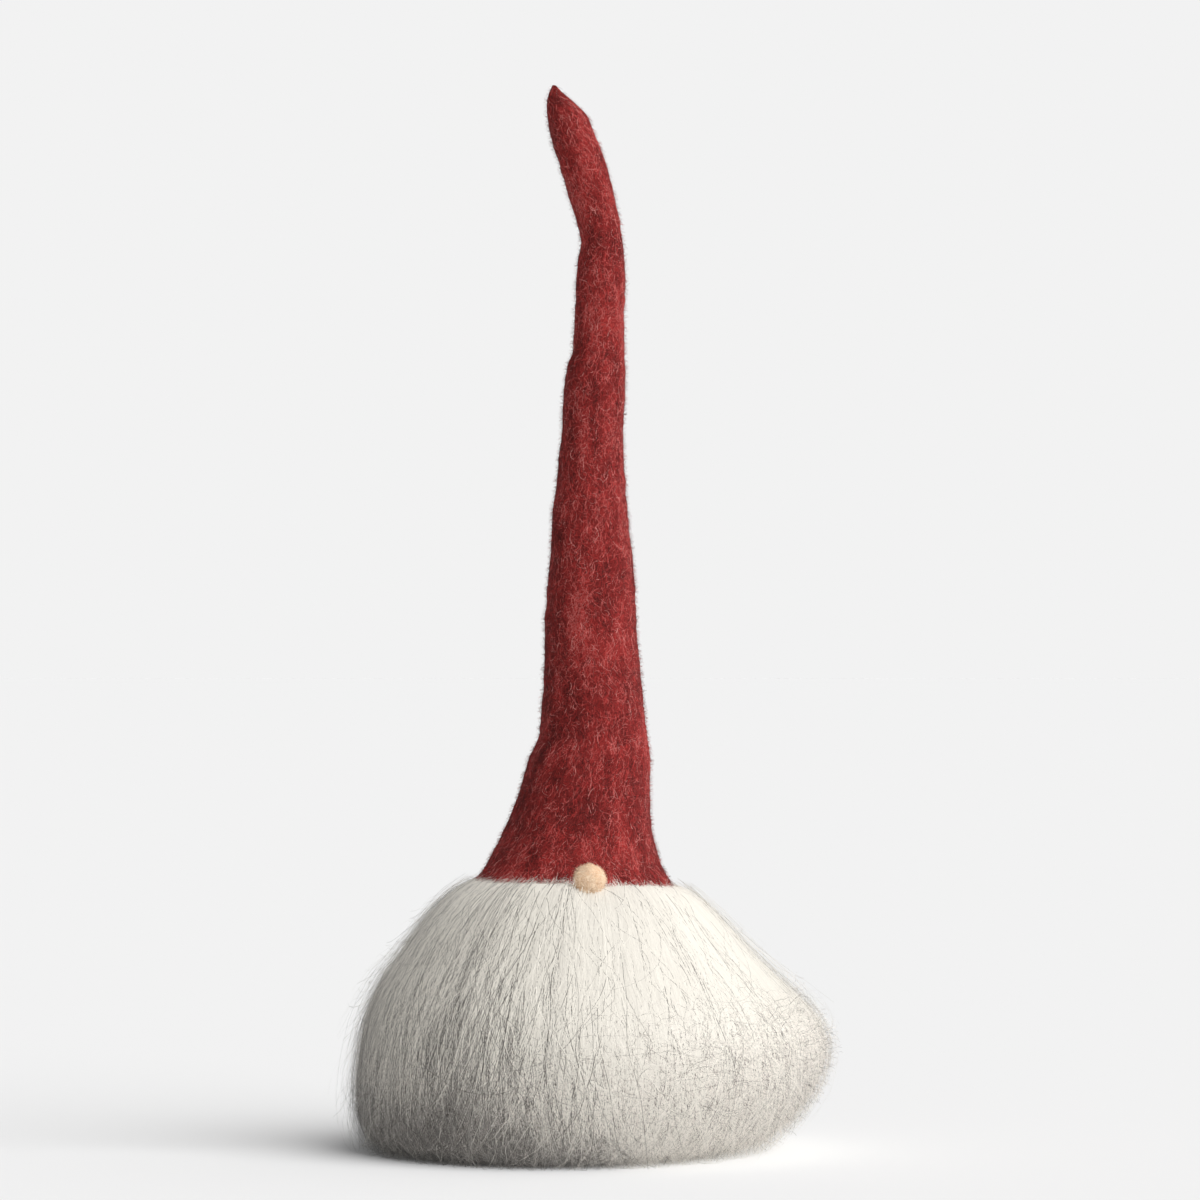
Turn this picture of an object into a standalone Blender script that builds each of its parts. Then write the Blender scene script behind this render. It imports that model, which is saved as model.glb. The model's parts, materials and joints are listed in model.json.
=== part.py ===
"""A tomte gnome figurine: a tall felt hat that bends, over a weighted body hidden in long sheep's wool.

A wooden foot carries a dowel and a steel weight. A stuffed calico bag is tied round the dowel, and two tiers of
wool locks hang from tapes sewn to the bag. A felt hat, filled with wadding round a soft wire, sits on top, with a
felted ball for a nose under its brim. The front is -Y, the left of the front view is -X, and Z = 0 is the table.

All sizes are in millimetres. make_solid turns them into metres.
"""

import math

import bmesh
import bpy
from mathutils import Matrix, Vector

MM = 0.001
CLEARANCE = 0.3  # between two pieces that touch

# Foot
PAD_RADIUS = 40.0
PAD_THICKNESS = 2.0
DISC_RADIUS = 42.0
DISC_THICKNESS = 9.0
SOCKET_DEPTH = 5.0
WEIGHT_RADIUS = 30.0
WEIGHT_THICKNESS = 8.0
SCREW_HEAD_RADIUS = 4.6
SCREW_HEAD_DEPTH = 2.8
SCREW_RADIUS = 2.2
SCREW_LENGTH = 34.0
SCREW_POINT_LENGTH = 5.0
SCREW_RECESS_LENGTH = 5.0
SCREW_RECESS_WIDTH = 1.2
SCREW_RECESS_DEPTH = 1.1

# Dowel
DOWEL_RADIUS = 5.0
DOWEL_TOP = 136.0
DOWEL_CHAMFER = 1.0

# Body bag
BAG_CLOTH = 1.0
BELLY_RADIUS = 57.5
BELLY_HEIGHT = 34.0
SHOULDER_RADIUS = 36.0
SHOULDER_HEIGHT = 82.0
NECK_HEIGHT = 101.0
NECK_LENGTH = 8.0
NECK_TIE_RADIUS = 1.0

# Wool. Each outline runs from the neck down to the table: how far up the wool the point is, and how much of the
# way from the bag out to the wool's full reach. The two outlines are the left and the right side of the front view.
WOOL_REACH_LEFT = 88.0
WOOL_REACH_RIGHT = 88.5
WOOL_DEPTH = 0.96  # front and back reach, beside the mean of left and right
WOOL_FOOT = 1.0
WOOL_OUTLINE_LEFT = (
    (1.00, 0.29), (0.97, 0.46), (0.92, 0.57), (0.84, 0.66), (0.73, 0.75), (0.61, 0.83),
    (0.48, 0.89), (0.35, 0.96), (0.22, 1.00), (0.12, 0.99), (0.05, 0.86), (0.00, 0.48),
)
WOOL_OUTLINE_RIGHT = (
    (1.00, 0.24), (0.97, 0.32), (0.92, 0.37), (0.84, 0.40), (0.73, 0.45), (0.61, 0.63),
    (0.48, 0.92), (0.35, 0.99), (0.22, 0.83), (0.12, 0.62), (0.05, 0.44), (0.00, 0.14),
)
TAPE_THICKNESS = 1.0
TAPE_WIDTH = 9.0
CAPE_TAPE_RISE = 0.90  # place of each tape's middle, up the wool
SKIRT_TAPE_RISE = 0.60
SKIRT_TOP = 0.66  # top of the inner tier, up the wool
SKIRT_SHARE = 0.45  # how much of the wool's thickness is the inner tier

# Hat. Each stretch lists points from its lower bend to its upper one: how far along it the point is, how far the
# hat's middle stands to the right of the dowel, and the hat's radius there.
BRIM_HEIGHT = 100.5
BRIM_DROP = 2.0  # room under the brim for its tilt
LOWER_BEND_HEIGHT = 152.0
MIDDLE_BEND_HEIGHT = 299.7
TIP_BEND_HEIGHT = 342.8
HAT_TOP = 400.0
CONE_SHAPE = (
    (0.00, -6.8, 37.0), (0.10, -6.6, 33.6), (0.22, -6.1, 30.2), (0.42, -4.9, 26.8), (0.72, -2.5, 24.0),
)
SHAFT_SHAPE = (
    (0.00, 0.0, 20.6), (0.08, 0.4, 19.0), (0.22, -0.1, 17.5), (0.42, -0.6, 16.0), (0.58, -0.5, 14.0),
    (0.73, -0.3, 12.0), (0.85, 0.9, 11.4), (0.94, 1.6, 10.8),
)
TOP_SHAPE = (
    (0.00, 2.3, 9.4), (0.34, 2.7, 9.1), (0.68, 3.4, 8.9),
)
TIP_SHAPE = (
    (0.00, 3.6, 7.7), (0.14, 2.1, 8.0), (0.38, -2.2, 8.1), (0.62, -6.0, 7.9), (0.79, -9.1, 6.9), (0.90, -12.0, 4.4),
    (1.00, -14.3, 0.8),
)
FELT_THICKNESS = 2.5
LOWER_BEND_RANGE = 12.0
MIDDLE_BEND_RANGE = 20.0
TIP_BEND_RANGE = 35.0
BALL_SHARE = 0.8  # radius of the wadding's ball in each bend, beside the wadding's own radius
CAVITY_TOP = 0.70  # where the hollow of the tip ends, along the tip
TIP_WIRE_TOP = 0.60
CONE_WADDING_START = 0.24  # bottom of the cone's wadding, along the cone

# Wire
WIRE_RADIUS = 1.0
WIRE_START_HEIGHT = 114.5
BINDING_RADIUS = 0.5
BINDING_HEIGHTS = (118.0, 130.0)
BEND_END_GAP = 2.0  # the wire stops this far under each bend

# Nose
NOSE_RADIUS = 6.3
NOSE_OFFSET = -1.1
NOSE_HEIGHT = 104.0
NOSE_SINK = 1.0  # how far the ball's middle lies behind the felt's face
THREAD_RADIUS = 0.5

# Facets
FOOT_SIDES = 36
BODY_SIDES = 32
BEARD_FACETS = 8  # how many of the body's sides the beard and the back of the cape span
BACK_FACETS = 10
HAT_SIDES = 24
SMALL_SIDES = 16
BALL_STEP = 15.0  # degrees from one ring of a ball to the next
SMOOTH_ANGLE = 40.0

COLOURS = {
    "grey_felt": ((0.25, 0.24, 0.23), 0.95, 0.0),
    "plywood": ((0.72, 0.55, 0.34), 0.6, 0.0),
    "steel": ((0.55, 0.56, 0.58), 0.4, 1.0),
    "zinc_steel": ((0.75, 0.72, 0.62), 0.35, 1.0),
    "beech": ((0.70, 0.48, 0.30), 0.55, 0.0),
    "calico": ((0.80, 0.75, 0.64), 0.9, 0.0),
    "wadding": ((0.85, 0.82, 0.76), 1.0, 0.0),
    "cotton": ((0.86, 0.84, 0.78), 0.85, 0.0),
    "wool": ((0.78, 0.76, 0.72), 0.9, 0.0),
    "red_felt": ((0.36, 0.04, 0.05), 0.95, 0.0),
    "nose_felt": ((0.82, 0.58, 0.38), 0.95, 0.0),
    "soft_wire": ((0.30, 0.30, 0.31), 0.5, 1.0),
}


def clear_scene():
    for obj in list(bpy.data.objects):
        bpy.data.objects.remove(obj)


def material(name):
    colour, roughness, metallic = COLOURS[name]
    made = bpy.data.materials.get(name)
    if made is None:
        made = bpy.data.materials.new(name)
        made.use_nodes = True
        shader = made.node_tree.nodes["Principled BSDF"]
        shader.inputs["Base Color"].default_value = (*colour, 1.0)
        shader.inputs["Roughness"].default_value = roughness
        shader.inputs["Metallic"].default_value = metallic
    return made


def make_solid(name, rings, finish, joined=False):
    """One closed solid: each ring of points is joined to the next, and the ends are capped or joined to each other."""
    bm = bmesh.new()
    rows = [[bm.verts.new(Vector(point) * MM) for point in ring] for ring in rings]
    pairs = list(zip(rows, rows[1:]))
    if joined:
        pairs.append((rows[-1], rows[0]))
    else:
        bm.faces.new(rows[0][::-1])
        bm.faces.new(rows[-1])
    for low, high in pairs:
        for i in range(len(low)):
            j = (i + 1) % len(low)
            bm.faces.new((low[i], low[j], high[j], high[i]))
    bmesh.ops.recalc_face_normals(bm, faces=bm.faces)
    mesh = bpy.data.meshes.new(name)
    bm.to_mesh(mesh)
    bm.free()
    return add_object(name, mesh, finish)


def add_object(name, data, finish):
    obj = bpy.data.objects.new(name, data)
    bpy.context.scene.collection.objects.link(obj)
    data.materials.append(material(finish))
    if obj.type == "MESH":
        data.shade_smooth()
        data.set_sharp_from_angle(angle=math.radians(SMOOTH_ANGLE))
    return obj


def cutter(obj):
    obj.hide_render = True
    obj.display_type = "WIRE"
    return obj


def cut(obj, tool):
    modifier = obj.modifiers.new("cut_" + tool.name, "BOOLEAN")
    modifier.operation = "DIFFERENCE"
    modifier.object = tool


def smooth_curve(points, steps):
    """A smooth curve through the points, with this many steps between one point and the next."""
    ends = [points[0], *points, points[-1]]
    curve = []
    for k in range(len(points) - 1):
        before, start, end, after = (Vector(p) for p in ends[k : k + 4])
        for step in range(steps):
            t = step / steps
            bend = (2 * before - 5 * start + 4 * end - after) * t * t
            twist = (3 * start - before - 3 * end + after) * t * t * t
            curve.append((2 * start + (end - before) * t + bend + twist) / 2)
    return [*curve, Vector(points[-1])]


def offset(outline, distance):
    """The outline moved sideways by a distance, to its right as it runs."""
    moved = []
    for k, point in enumerate(outline):
        before = outline[max(k - 1, 0)]
        after = outline[min(k + 1, len(outline) - 1)]
        along = (Vector(after) - Vector(before)).normalized()
        moved.append(Vector(point) + Vector((along.y, -along.x)) * distance)
    return moved


def circle(radius, height, sides, centre=(0.0, 0.0)):
    turns = (2 * math.pi * k / sides for k in range(sides))
    return [(centre[0] + radius * math.cos(a), centre[1] + radius * math.sin(a), height) for a in turns]


def turned(name, outline, finish, sides, joined=False):
    """A turned solid from its outline of radius and height. A joined outline is that of a ring with a hole."""
    rings = [circle(radius, height, sides) for radius, height in outline]
    return make_solid(name, rings, finish, joined)


def value_at(outline, height):
    """The outline's radius at a height. The outline runs upwards."""
    for (radius, low), (next_radius, high) in zip(outline, outline[1:]):
        if low <= height <= high:
            return radius + (next_radius - radius) * (height - low) / max(high - low, 1e-9)
    return outline[0][0] if height < outline[0][1] else outline[-1][0]


# ---- Foot and dowel ----

DISC_BOTTOM = PAD_THICKNESS + CLEARANCE
DISC_TOP = DISC_BOTTOM + DISC_THICKNESS
DOWEL_BOTTOM = DISC_TOP - SOCKET_DEPTH + CLEARANCE
WEIGHT_BOTTOM = DISC_TOP + CLEARANCE
WEIGHT_TOP = WEIGHT_BOTTOM + WEIGHT_THICKNESS
BORE_RADIUS = DOWEL_RADIUS + CLEARANCE
SCREW_HEAD_TOP = DISC_BOTTOM + CLEARANCE


def screw_outline(grow):
    """The screw's outline from its head, which faces down, to its point, grown on every side for a hole."""
    neck = SCREW_HEAD_TOP + SCREW_HEAD_DEPTH
    tip = SCREW_HEAD_TOP + SCREW_LENGTH
    return [
        (SCREW_HEAD_RADIUS + grow, SCREW_HEAD_TOP - grow),
        (SCREW_HEAD_RADIUS + grow, SCREW_HEAD_TOP + grow),
        (SCREW_RADIUS + grow, neck + grow),
        (SCREW_RADIUS + grow, tip - SCREW_POINT_LENGTH + grow),
        (SCREW_RADIUS / 4 + grow, tip + grow),
    ]


def make_foot():
    turned("base_pad", [(PAD_RADIUS, 0), (PAD_RADIUS, PAD_THICKNESS)], "grey_felt", FOOT_SIDES)
    disc = turned("base_disc", [(DISC_RADIUS, DISC_BOTTOM), (DISC_RADIUS, DISC_TOP)], "plywood", FOOT_SIDES)
    ring = [
        (BORE_RADIUS, WEIGHT_BOTTOM), (WEIGHT_RADIUS, WEIGHT_BOTTOM),
        (WEIGHT_RADIUS, WEIGHT_TOP), (BORE_RADIUS, WEIGHT_TOP),
    ]
    turned("weight_disc", ring, "steel", FOOT_SIDES, joined=True)
    dowel_outline = [
        (DOWEL_RADIUS, DOWEL_BOTTOM), (DOWEL_RADIUS, DOWEL_TOP - DOWEL_CHAMFER),
        (DOWEL_RADIUS - DOWEL_CHAMFER, DOWEL_TOP),
    ]
    dowel = turned("dowel", dowel_outline, "beech", SMALL_SIDES)
    screw = turned("base_screw", screw_outline(0), "zinc_steel", SMALL_SIDES)
    hole = cutter(turned("screw_hole", screw_outline(CLEARANCE), "zinc_steel", SMALL_SIDES))
    socket_outline = [(BORE_RADIUS, DISC_TOP - SOCKET_DEPTH), (BORE_RADIUS, DISC_TOP + 1)]
    socket = cutter(turned("dowel_socket", socket_outline, "beech", SMALL_SIDES))
    cut(disc, hole)
    cut(disc, socket)
    cut(dowel, hole)
    for name, turn in (("recess_along", 0), ("recess_across", 90)):
        recess = cutter(bar(name, SCREW_RECESS_LENGTH, SCREW_RECESS_WIDTH, 2 * SCREW_RECESS_DEPTH))
        recess.location.z = SCREW_HEAD_TOP * MM
        recess.rotation_euler.z = math.radians(turn)
        cut(screw, recess)


def bar(name, length, width, height):
    """A square-edged bar about the origin."""
    corners = ((-length / 2, -width / 2), (length / 2, -width / 2), (length / 2, width / 2), (-length / 2, width / 2))
    return make_solid(name, [[(x, y, z) for x, y in corners] for z in (-height / 2, height / 2)], "zinc_steel")


# ---- Body bag, its wadding and its tie ----

HEM_RADIUS = DISC_RADIUS + CLEARANCE + BAG_CLOTH
NECK_RADIUS = BORE_RADIUS + BAG_CLOTH
NECK_TOP = NECK_HEIGHT + NECK_LENGTH
BAG_POINTS = (
    (HEM_RADIUS, DISC_TOP), (BELLY_RADIUS, BELLY_HEIGHT), (SHOULDER_RADIUS, SHOULDER_HEIGHT),
    (NECK_RADIUS, NECK_HEIGHT),
)
BAG_STEPS = 3
# The bag's outer side, from its hem round the foot up to the top of its neck.
BAG_OUTLINE = [
    Vector((HEM_RADIUS, DISC_BOTTOM + CLEARANCE)),
    *smooth_curve(BAG_POINTS, BAG_STEPS),
    Vector((NECK_RADIUS, NECK_TOP)),
]


def make_body():
    inner = offset(BAG_OUTLINE, -BAG_CLOTH)
    turned("body_bag", [*BAG_OUTLINE, *reversed(inner)], "calico", BODY_SIDES, joined=True)
    stuffed = [p for p in offset(BAG_OUTLINE, -BAG_CLOTH - CLEARANCE) if p.y > WEIGHT_TOP and p.x > BORE_RADIUS + 1]
    low = Vector((stuffed[0].x, DISC_TOP + CLEARANCE))
    rim = WEIGHT_RADIUS + CLEARANCE
    outline = [
        (BORE_RADIUS, WEIGHT_TOP + CLEARANCE), (rim, WEIGHT_TOP + CLEARANCE), (rim, low.y),
        (min(low.x, DISC_RADIUS), low.y), *stuffed, (BORE_RADIUS, stuffed[-1].y),
    ]
    turned("body_wadding", outline, "wadding", BODY_SIDES, joined=True)
    ring_tube("neck_tie", NECK_RADIUS + CLEARANCE + NECK_TIE_RADIUS, NECK_TOP - NECK_LENGTH / 2,
              NECK_TIE_RADIUS, "cotton")


def ring_tube(name, radius, height, thickness, finish):
    sides = SMALL_SIDES // 2
    turns = (2 * math.pi * k / sides for k in range(sides))
    outline = [(radius + thickness * math.cos(a), height + thickness * math.sin(a)) for a in turns]
    turned(name, outline, finish, SMALL_SIDES + SMALL_SIDES // 2, joined=True)


# ---- Wool: an inner skirt and an outer cape, each hung from its tape ----

WOOL_TOP = BRIM_HEIGHT - BRIM_DROP - CLEARANCE
WOOL_GAP = TAPE_THICKNESS + 5 * CLEARANCE  # room for a tape behind the wool, whose facets cut the curve's corners
WOOL_BACK = offset(BAG_OUTLINE, WOOL_GAP)


def wool_height(rise):
    return WOOL_FOOT + (WOOL_TOP - WOOL_FOOT) * rise


def wool_points(angle):
    """The wool's cross-section at an angle round the dowel: (height, inside radius, outside radius) from the top."""
    to_right = (1 + math.cos(angle)) / 2
    reach = WOOL_REACH_LEFT + (WOOL_REACH_RIGHT - WOOL_REACH_LEFT) * to_right
    reach *= WOOL_DEPTH + (1 - WOOL_DEPTH) * math.cos(angle) ** 2
    points = []
    for (rise, left), (_, right) in zip(WOOL_OUTLINE_LEFT, WOOL_OUTLINE_RIGHT):
        height = wool_height(rise)
        inside = value_at(WOOL_BACK, height)
        share = left + (right - left) * to_right
        points.append((height, inside, inside + (reach - inside) * share))
    return points


def at_angle(angle, section):
    return [(radius * math.cos(angle), radius * math.sin(angle), height) for radius, height in section]


def skirt_section(angle):
    rows = [row for row in wool_points(angle) if row[0] < wool_height(SKIRT_TOP)]
    outer = [(inside + (outside - inside) * SKIRT_SHARE, height) for height, inside, outside in rows]
    inner = [(inside, height) for height, inside, _ in rows]
    return at_angle(angle, outer + inner[::-1])


def cape_section(angle):
    rows = wool_points(angle)
    outer = [(outside, height) for height, _, outside in rows]
    low = [row for row in rows if row[0] < wool_height(SKIRT_TOP)]
    high = [row for row in rows if row[0] >= wool_height(SKIRT_TOP)]
    under = [
        (inside + (outside - inside) * SKIRT_SHARE + CLEARANCE, height) for height, inside, outside in reversed(low)
    ]
    step = (low[0][1], low[0][0] + CLEARANCE)
    over = [(inside, height) for height, inside, _ in reversed(high)]
    return at_angle(angle, [*outer, *under, (under[-1][0], step[1]), step, *over])


def wool_sector(name, start, facets):
    """A part of the cape over some of the body's sides. Each end stands back by the clearance from its neighbour."""
    angles = [math.radians(start + 360 / BODY_SIDES * k) for k in range(facets + 1)]
    sections = [cape_section(angle) for angle in angles]
    for k, back in ((0, CLEARANCE), (-1, -CLEARANCE)):
        along = Vector((-math.sin(angles[k]), math.cos(angles[k]), 0)) * back
        sections[k] = [Vector(point) + along for point in sections[k]]
    return make_solid(name, sections, "wool")


def tape(name, rise):
    """A woven tape laid round the bag, in the space between the bag and the wool."""
    low = wool_height(rise) - TAPE_WIDTH / 2
    high = low + TAPE_WIDTH
    side = offset(BAG_OUTLINE, CLEARANCE)
    between = [point for point in side if low + CLEARANCE < point.y < high - CLEARANCE]
    inner = [Vector((value_at(side, low), low)), *between, Vector((value_at(side, high), high))]
    outer = offset(inner, TAPE_THICKNESS)
    turned(name, [*inner, *reversed(outer)], "cotton", BODY_SIDES, joined=True)


def make_wool():
    angles = [2 * math.pi * k / BODY_SIDES for k in range(BODY_SIDES)]
    make_solid("fleece_skirt", [skirt_section(a) for a in angles], "wool", joined=True)
    side_facets = (BODY_SIDES - BEARD_FACETS - BACK_FACETS) // 2
    start = -90 - 180 / BODY_SIDES * BEARD_FACETS
    beard = None
    for name, facets in (
        ("beard", BEARD_FACETS), ("fleece_cape_right", side_facets),
        ("fleece_cape_back", BACK_FACETS), ("fleece_cape_left", side_facets),
    ):
        sector = wool_sector(name, start, facets)
        start += 360 / BODY_SIDES * facets
        beard = beard or sector
    tape("cape_tape", CAPE_TAPE_RISE)
    tape("skirt_tape", SKIRT_TAPE_RISE)
    return beard


# ---- Hat: four stretches of felt, wadding and wire, with a ball of wadding at each bend between them ----

STRETCHES = (
    (BRIM_HEIGHT, LOWER_BEND_HEIGHT, CONE_SHAPE),
    (LOWER_BEND_HEIGHT, MIDDLE_BEND_HEIGHT, SHAFT_SHAPE),
    (MIDDLE_BEND_HEIGHT, TIP_BEND_HEIGHT, TOP_SHAPE),
    (TIP_BEND_HEIGHT, HAT_TOP, TIP_SHAPE),
)
BEND_RANGES = (LOWER_BEND_RANGE, MIDDLE_BEND_RANGE, TIP_BEND_RANGE)
STRETCH_NAMES = ("cone", "shaft", "top", "tip")
HAT_STEPS = 6
WIRE_BORE = WIRE_RADIUS + CLEARANCE
FELT_INSIDE = FELT_THICKNESS + CLEARANCE


def stretch_rows(number):
    low, high, shape = STRETCHES[number]
    return [(low + (high - low) * share, lean, radius) for share, lean, radius in shape]


# The hat's middle line as one smooth curve of height, lean and radius.
HAT_LINE = smooth_curve([row for number in range(len(STRETCHES)) for row in stretch_rows(number)], HAT_STEPS)


def hat_at(height):
    """The point on the hat's middle line at a height, the line's direction there, and the hat's radius."""
    for low, high in zip(HAT_LINE, HAT_LINE[1:]):
        if height <= high.x or high is HAT_LINE[-1]:
            share = (height - low.x) / (high.x - low.x)
            row = low.lerp(high, share)
            along = Vector((high.y - low.y, 0, high.x - low.x)).normalized()
            return Vector((row.y, 0, row.x)), along, row.z


def ring(centre, along, radius, sides=HAT_SIDES):
    across = Vector((along.z, 0, -along.x))
    turns = (2 * math.pi * k / sides for k in range(sides))
    return [centre + radius * (math.cos(a) * across + math.sin(a) * Vector((0, 1, 0))) for a in turns]


class Bend:
    """The place between two stretches: its middle, its direction, and the sizes of its gap and its ball."""

    def __init__(self, number):
        height = STRETCHES[number][1]
        self.middle, _, self.radius = hat_at(height)
        below = hat_at(height - self.radius)[1]
        above = hat_at(height + self.radius)[1]
        self.along = (below + above).normalized()
        self.half_gap = self.radius * math.tan(math.radians(BEND_RANGES[number] / 2)) + CLEARANCE
        self.ball = (self.radius - FELT_INSIDE) * BALL_SHARE

    def at(self, shift):
        return self.middle + self.along * shift

    def dome(self, radius, edge, top):
        """Rings of a ball from the height of its edge up to its top, both above the bend's middle."""
        first = math.acos(min(edge / radius, 1.0))
        last = math.acos(min(top / radius, 1.0))
        steps = max(round(math.degrees(first - last) / BALL_STEP), 2)
        angles = [first + (last - first) * k / steps for k in range(steps + 1)]
        return [ring(self.at(radius * math.cos(a)), self.along, radius * math.sin(a)) for a in angles]


BENDS = [Bend(number) for number in range(len(BEND_RANGES))]


def stretch_frames(number):
    """(middle, direction, radius) of each ring of a stretch, from the gap at its foot to the gap at its head."""
    low, high, _ = STRETCHES[number]
    frames = []
    if number > 0:
        bend = BENDS[number - 1]
        low += 1.5 * bend.half_gap
        frames.append((bend.at(bend.half_gap), bend.along, hat_at(low)[2]))
    if number < len(BENDS):
        high -= 1.5 * BENDS[number].half_gap
    frames += [hat_at(row[0]) for row in stretch_rows(number) if low <= row[0] <= high]
    if number < len(BENDS):
        bend = BENDS[number]
        frames.append((bend.at(-bend.half_gap), bend.along, hat_at(high)[2]))
    return frames


def rings_of(frames, inset):
    return [ring(middle, along, radius - inset) for middle, along, radius in frames]


def tip_height(share):
    return TIP_BEND_HEIGHT + (HAT_TOP - TIP_BEND_HEIGHT) * share


def cavity_frames(number):
    """The frames of the hollow inside a stretch. The tip's hollow ends before the felt closes."""
    frames = stretch_frames(number)
    if number < len(BENDS):
        return frames
    end = tip_height(CAVITY_TOP)
    return [frame for frame in frames if frame[0].z < end - FELT_THICKNESS] + [hat_at(end)]


def felt(number):
    outer = rings_of(stretch_frames(number), 0)
    inner = rings_of(cavity_frames(number), FELT_THICKNESS)[::-1]
    name = "hat_" + STRETCH_NAMES[number]
    if number < len(BENDS):
        return make_solid(name, outer + inner, "red_felt", joined=True)
    return make_solid(name, inner + outer, "red_felt")


BORE_WIDE = DOWEL_RADIUS + 2 * WIRE_RADIUS + 2 * BINDING_RADIUS + 3 * CLEARANCE


def wadding(number):
    frames = cavity_frames(number)
    if number == 0:
        start = BRIM_HEIGHT + (LOWER_BEND_HEIGHT - BRIM_HEIGHT) * CONE_WADDING_START
        up = Vector((0, 0, 1))
        hole = [ring(Vector((0, 0, height)), up, BORE_WIDE) for height in (DOWEL_TOP + 3 * WIRE_RADIUS, start)]
        frames = [hat_at(start)] + [frame for frame in frames if frame[0].z > start + FELT_THICKNESS]
        foot = []
    else:
        bend = BENDS[number - 1]
        socket = bend.ball + CLEARANCE
        hole = rings_of(bore_frames(number), 0)[::-1]
        foot = bend.dome(socket, bend.half_gap, math.sqrt(socket ** 2 - WIRE_BORE ** 2))[::-1]
    if number < len(BENDS):
        bend = BENDS[number]
        head = bend.dome(bend.ball, -bend.half_gap, bend.ball * math.cos(math.radians(BALL_STEP)))
        hole.insert(0, ring(bend.at(CLEARANCE - BEND_END_GAP), bend.along, WIRE_BORE))
    else:
        frames[-1] = hat_at(tip_height(CAVITY_TOP) - CLEARANCE)
        head = []
        hole.insert(0, ring(*hat_at(tip_height(TIP_WIRE_TOP) + CLEARANCE)[:2], WIRE_BORE))
    return make_solid(STRETCH_NAMES[number] + "_wadding", hole + foot + rings_of(frames, FELT_INSIDE) + head, "wadding")


def bore_frames(number):
    """The frames of the wire's hole, clear of the ball at its foot."""
    low = BENDS[number - 1].middle.z + BENDS[number - 1].ball + WIRE_BORE
    high = tip_height(TIP_WIRE_TOP) if number == len(BENDS) else BENDS[number].middle.z - BENDS[number].ball
    return [(frame[0], frame[1], WIRE_BORE) for frame in stretch_frames(number) if low < frame[0].z < high]


def tube(name, path, radius, finish, closed=False):
    """A round wire or thread along a path of points."""
    data = bpy.data.curves.new(name, "CURVE")
    data.dimensions = "3D"
    data.bevel_depth = radius * MM
    data.bevel_resolution = 2
    data.use_fill_caps = not closed
    spline = data.splines.new("POLY")
    spline.points.add(len(path) - 1)
    spline.use_cyclic_u = closed
    for spot, point in zip(spline.points, path):
        spot.co = (*(Vector(point) * MM), 1.0)
    return add_object(name, data, finish)


WIRE_BESIDE = DOWEL_RADIUS + CLEARANCE + WIRE_RADIUS


def wire(number):
    if number == 0:
        bend = BENDS[0]
        path = [
            (WIRE_BESIDE, 0, WIRE_START_HEIGHT), (WIRE_BESIDE, 0, DOWEL_TOP + WIRE_RADIUS),
            bend.at(-3 * BEND_END_GAP), bend.at(-BEND_END_GAP),
        ]
    else:
        bend = BENDS[number - 1]
        path = [bend.at(bend.ball + 2 * CLEARANCE)]
        path += [frame[0] for frame in bore_frames(number)]
        if number < len(BENDS):
            path.append(BENDS[number].at(-BEND_END_GAP))
        else:
            path.append(hat_at(tip_height(TIP_WIRE_TOP))[0])
    return tube(STRETCH_NAMES[number] + "_wire", path, WIRE_RADIUS, "soft_wire")


def binding(name, height):
    """A turn of thin wire round the dowel and the hat's wire."""
    reach = CLEARANCE + BINDING_RADIUS
    round_dowel = DOWEL_RADIUS + reach
    round_wire = WIRE_RADIUS + reach
    meet = math.acos((round_dowel - round_wire) / WIRE_BESIDE)
    path = []
    for centre, radius, start, end in ((0, round_dowel, meet, 2 * math.pi - meet), (WIRE_BESIDE, round_wire, -meet, meet)):
        steps = SMALL_SIDES if centre == 0 else SMALL_SIDES // 4
        angles = (start + (end - start) * k / steps for k in range(steps + 1))
        path += [(centre + radius * math.cos(a), radius * math.sin(a), height) for a in angles]
    return tube(name, path, BINDING_RADIUS, "soft_wire", closed=True)


def make_hat():
    """The hat's pieces, each stretch above the cone hung on an empty at the bend below it."""
    parent = None
    pieces = []
    for number, name in enumerate(STRETCH_NAMES):
        made = [felt(number), wadding(number), wire(number)]
        pieces.append(made)
        if number == 0:
            continue
        pivot = bpy.data.objects.new(("lower", "middle", "tip")[number - 1] + "_bend", None)
        bpy.context.scene.collection.objects.link(pivot)
        place = BENDS[number - 1].middle * MM
        pivot.parent = parent
        pivot.location = place - (BENDS[number - 2].middle * MM if number > 1 else Vector((0, 0, 0)))
        parent = pivot
        for obj in made:
            obj.parent = pivot
            obj.matrix_parent_inverse = Matrix.Translation(-place)
    for name, height in zip(("wire_binding_lower", "wire_binding_upper"), BINDING_HEIGHTS):
        binding(name, height)
    return pieces[0][0]


# ---- Nose ----


def ball(name, centre, radius, finish):
    bm = bmesh.new()
    bmesh.ops.create_uvsphere(
        bm, u_segments=HAT_SIDES, v_segments=SMALL_SIDES, radius=radius * MM,
        matrix=Matrix.Translation(Vector(centre) * MM),
    )
    mesh = bpy.data.meshes.new(name)
    bm.to_mesh(mesh)
    bm.free()
    return add_object(name, mesh, finish)


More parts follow.
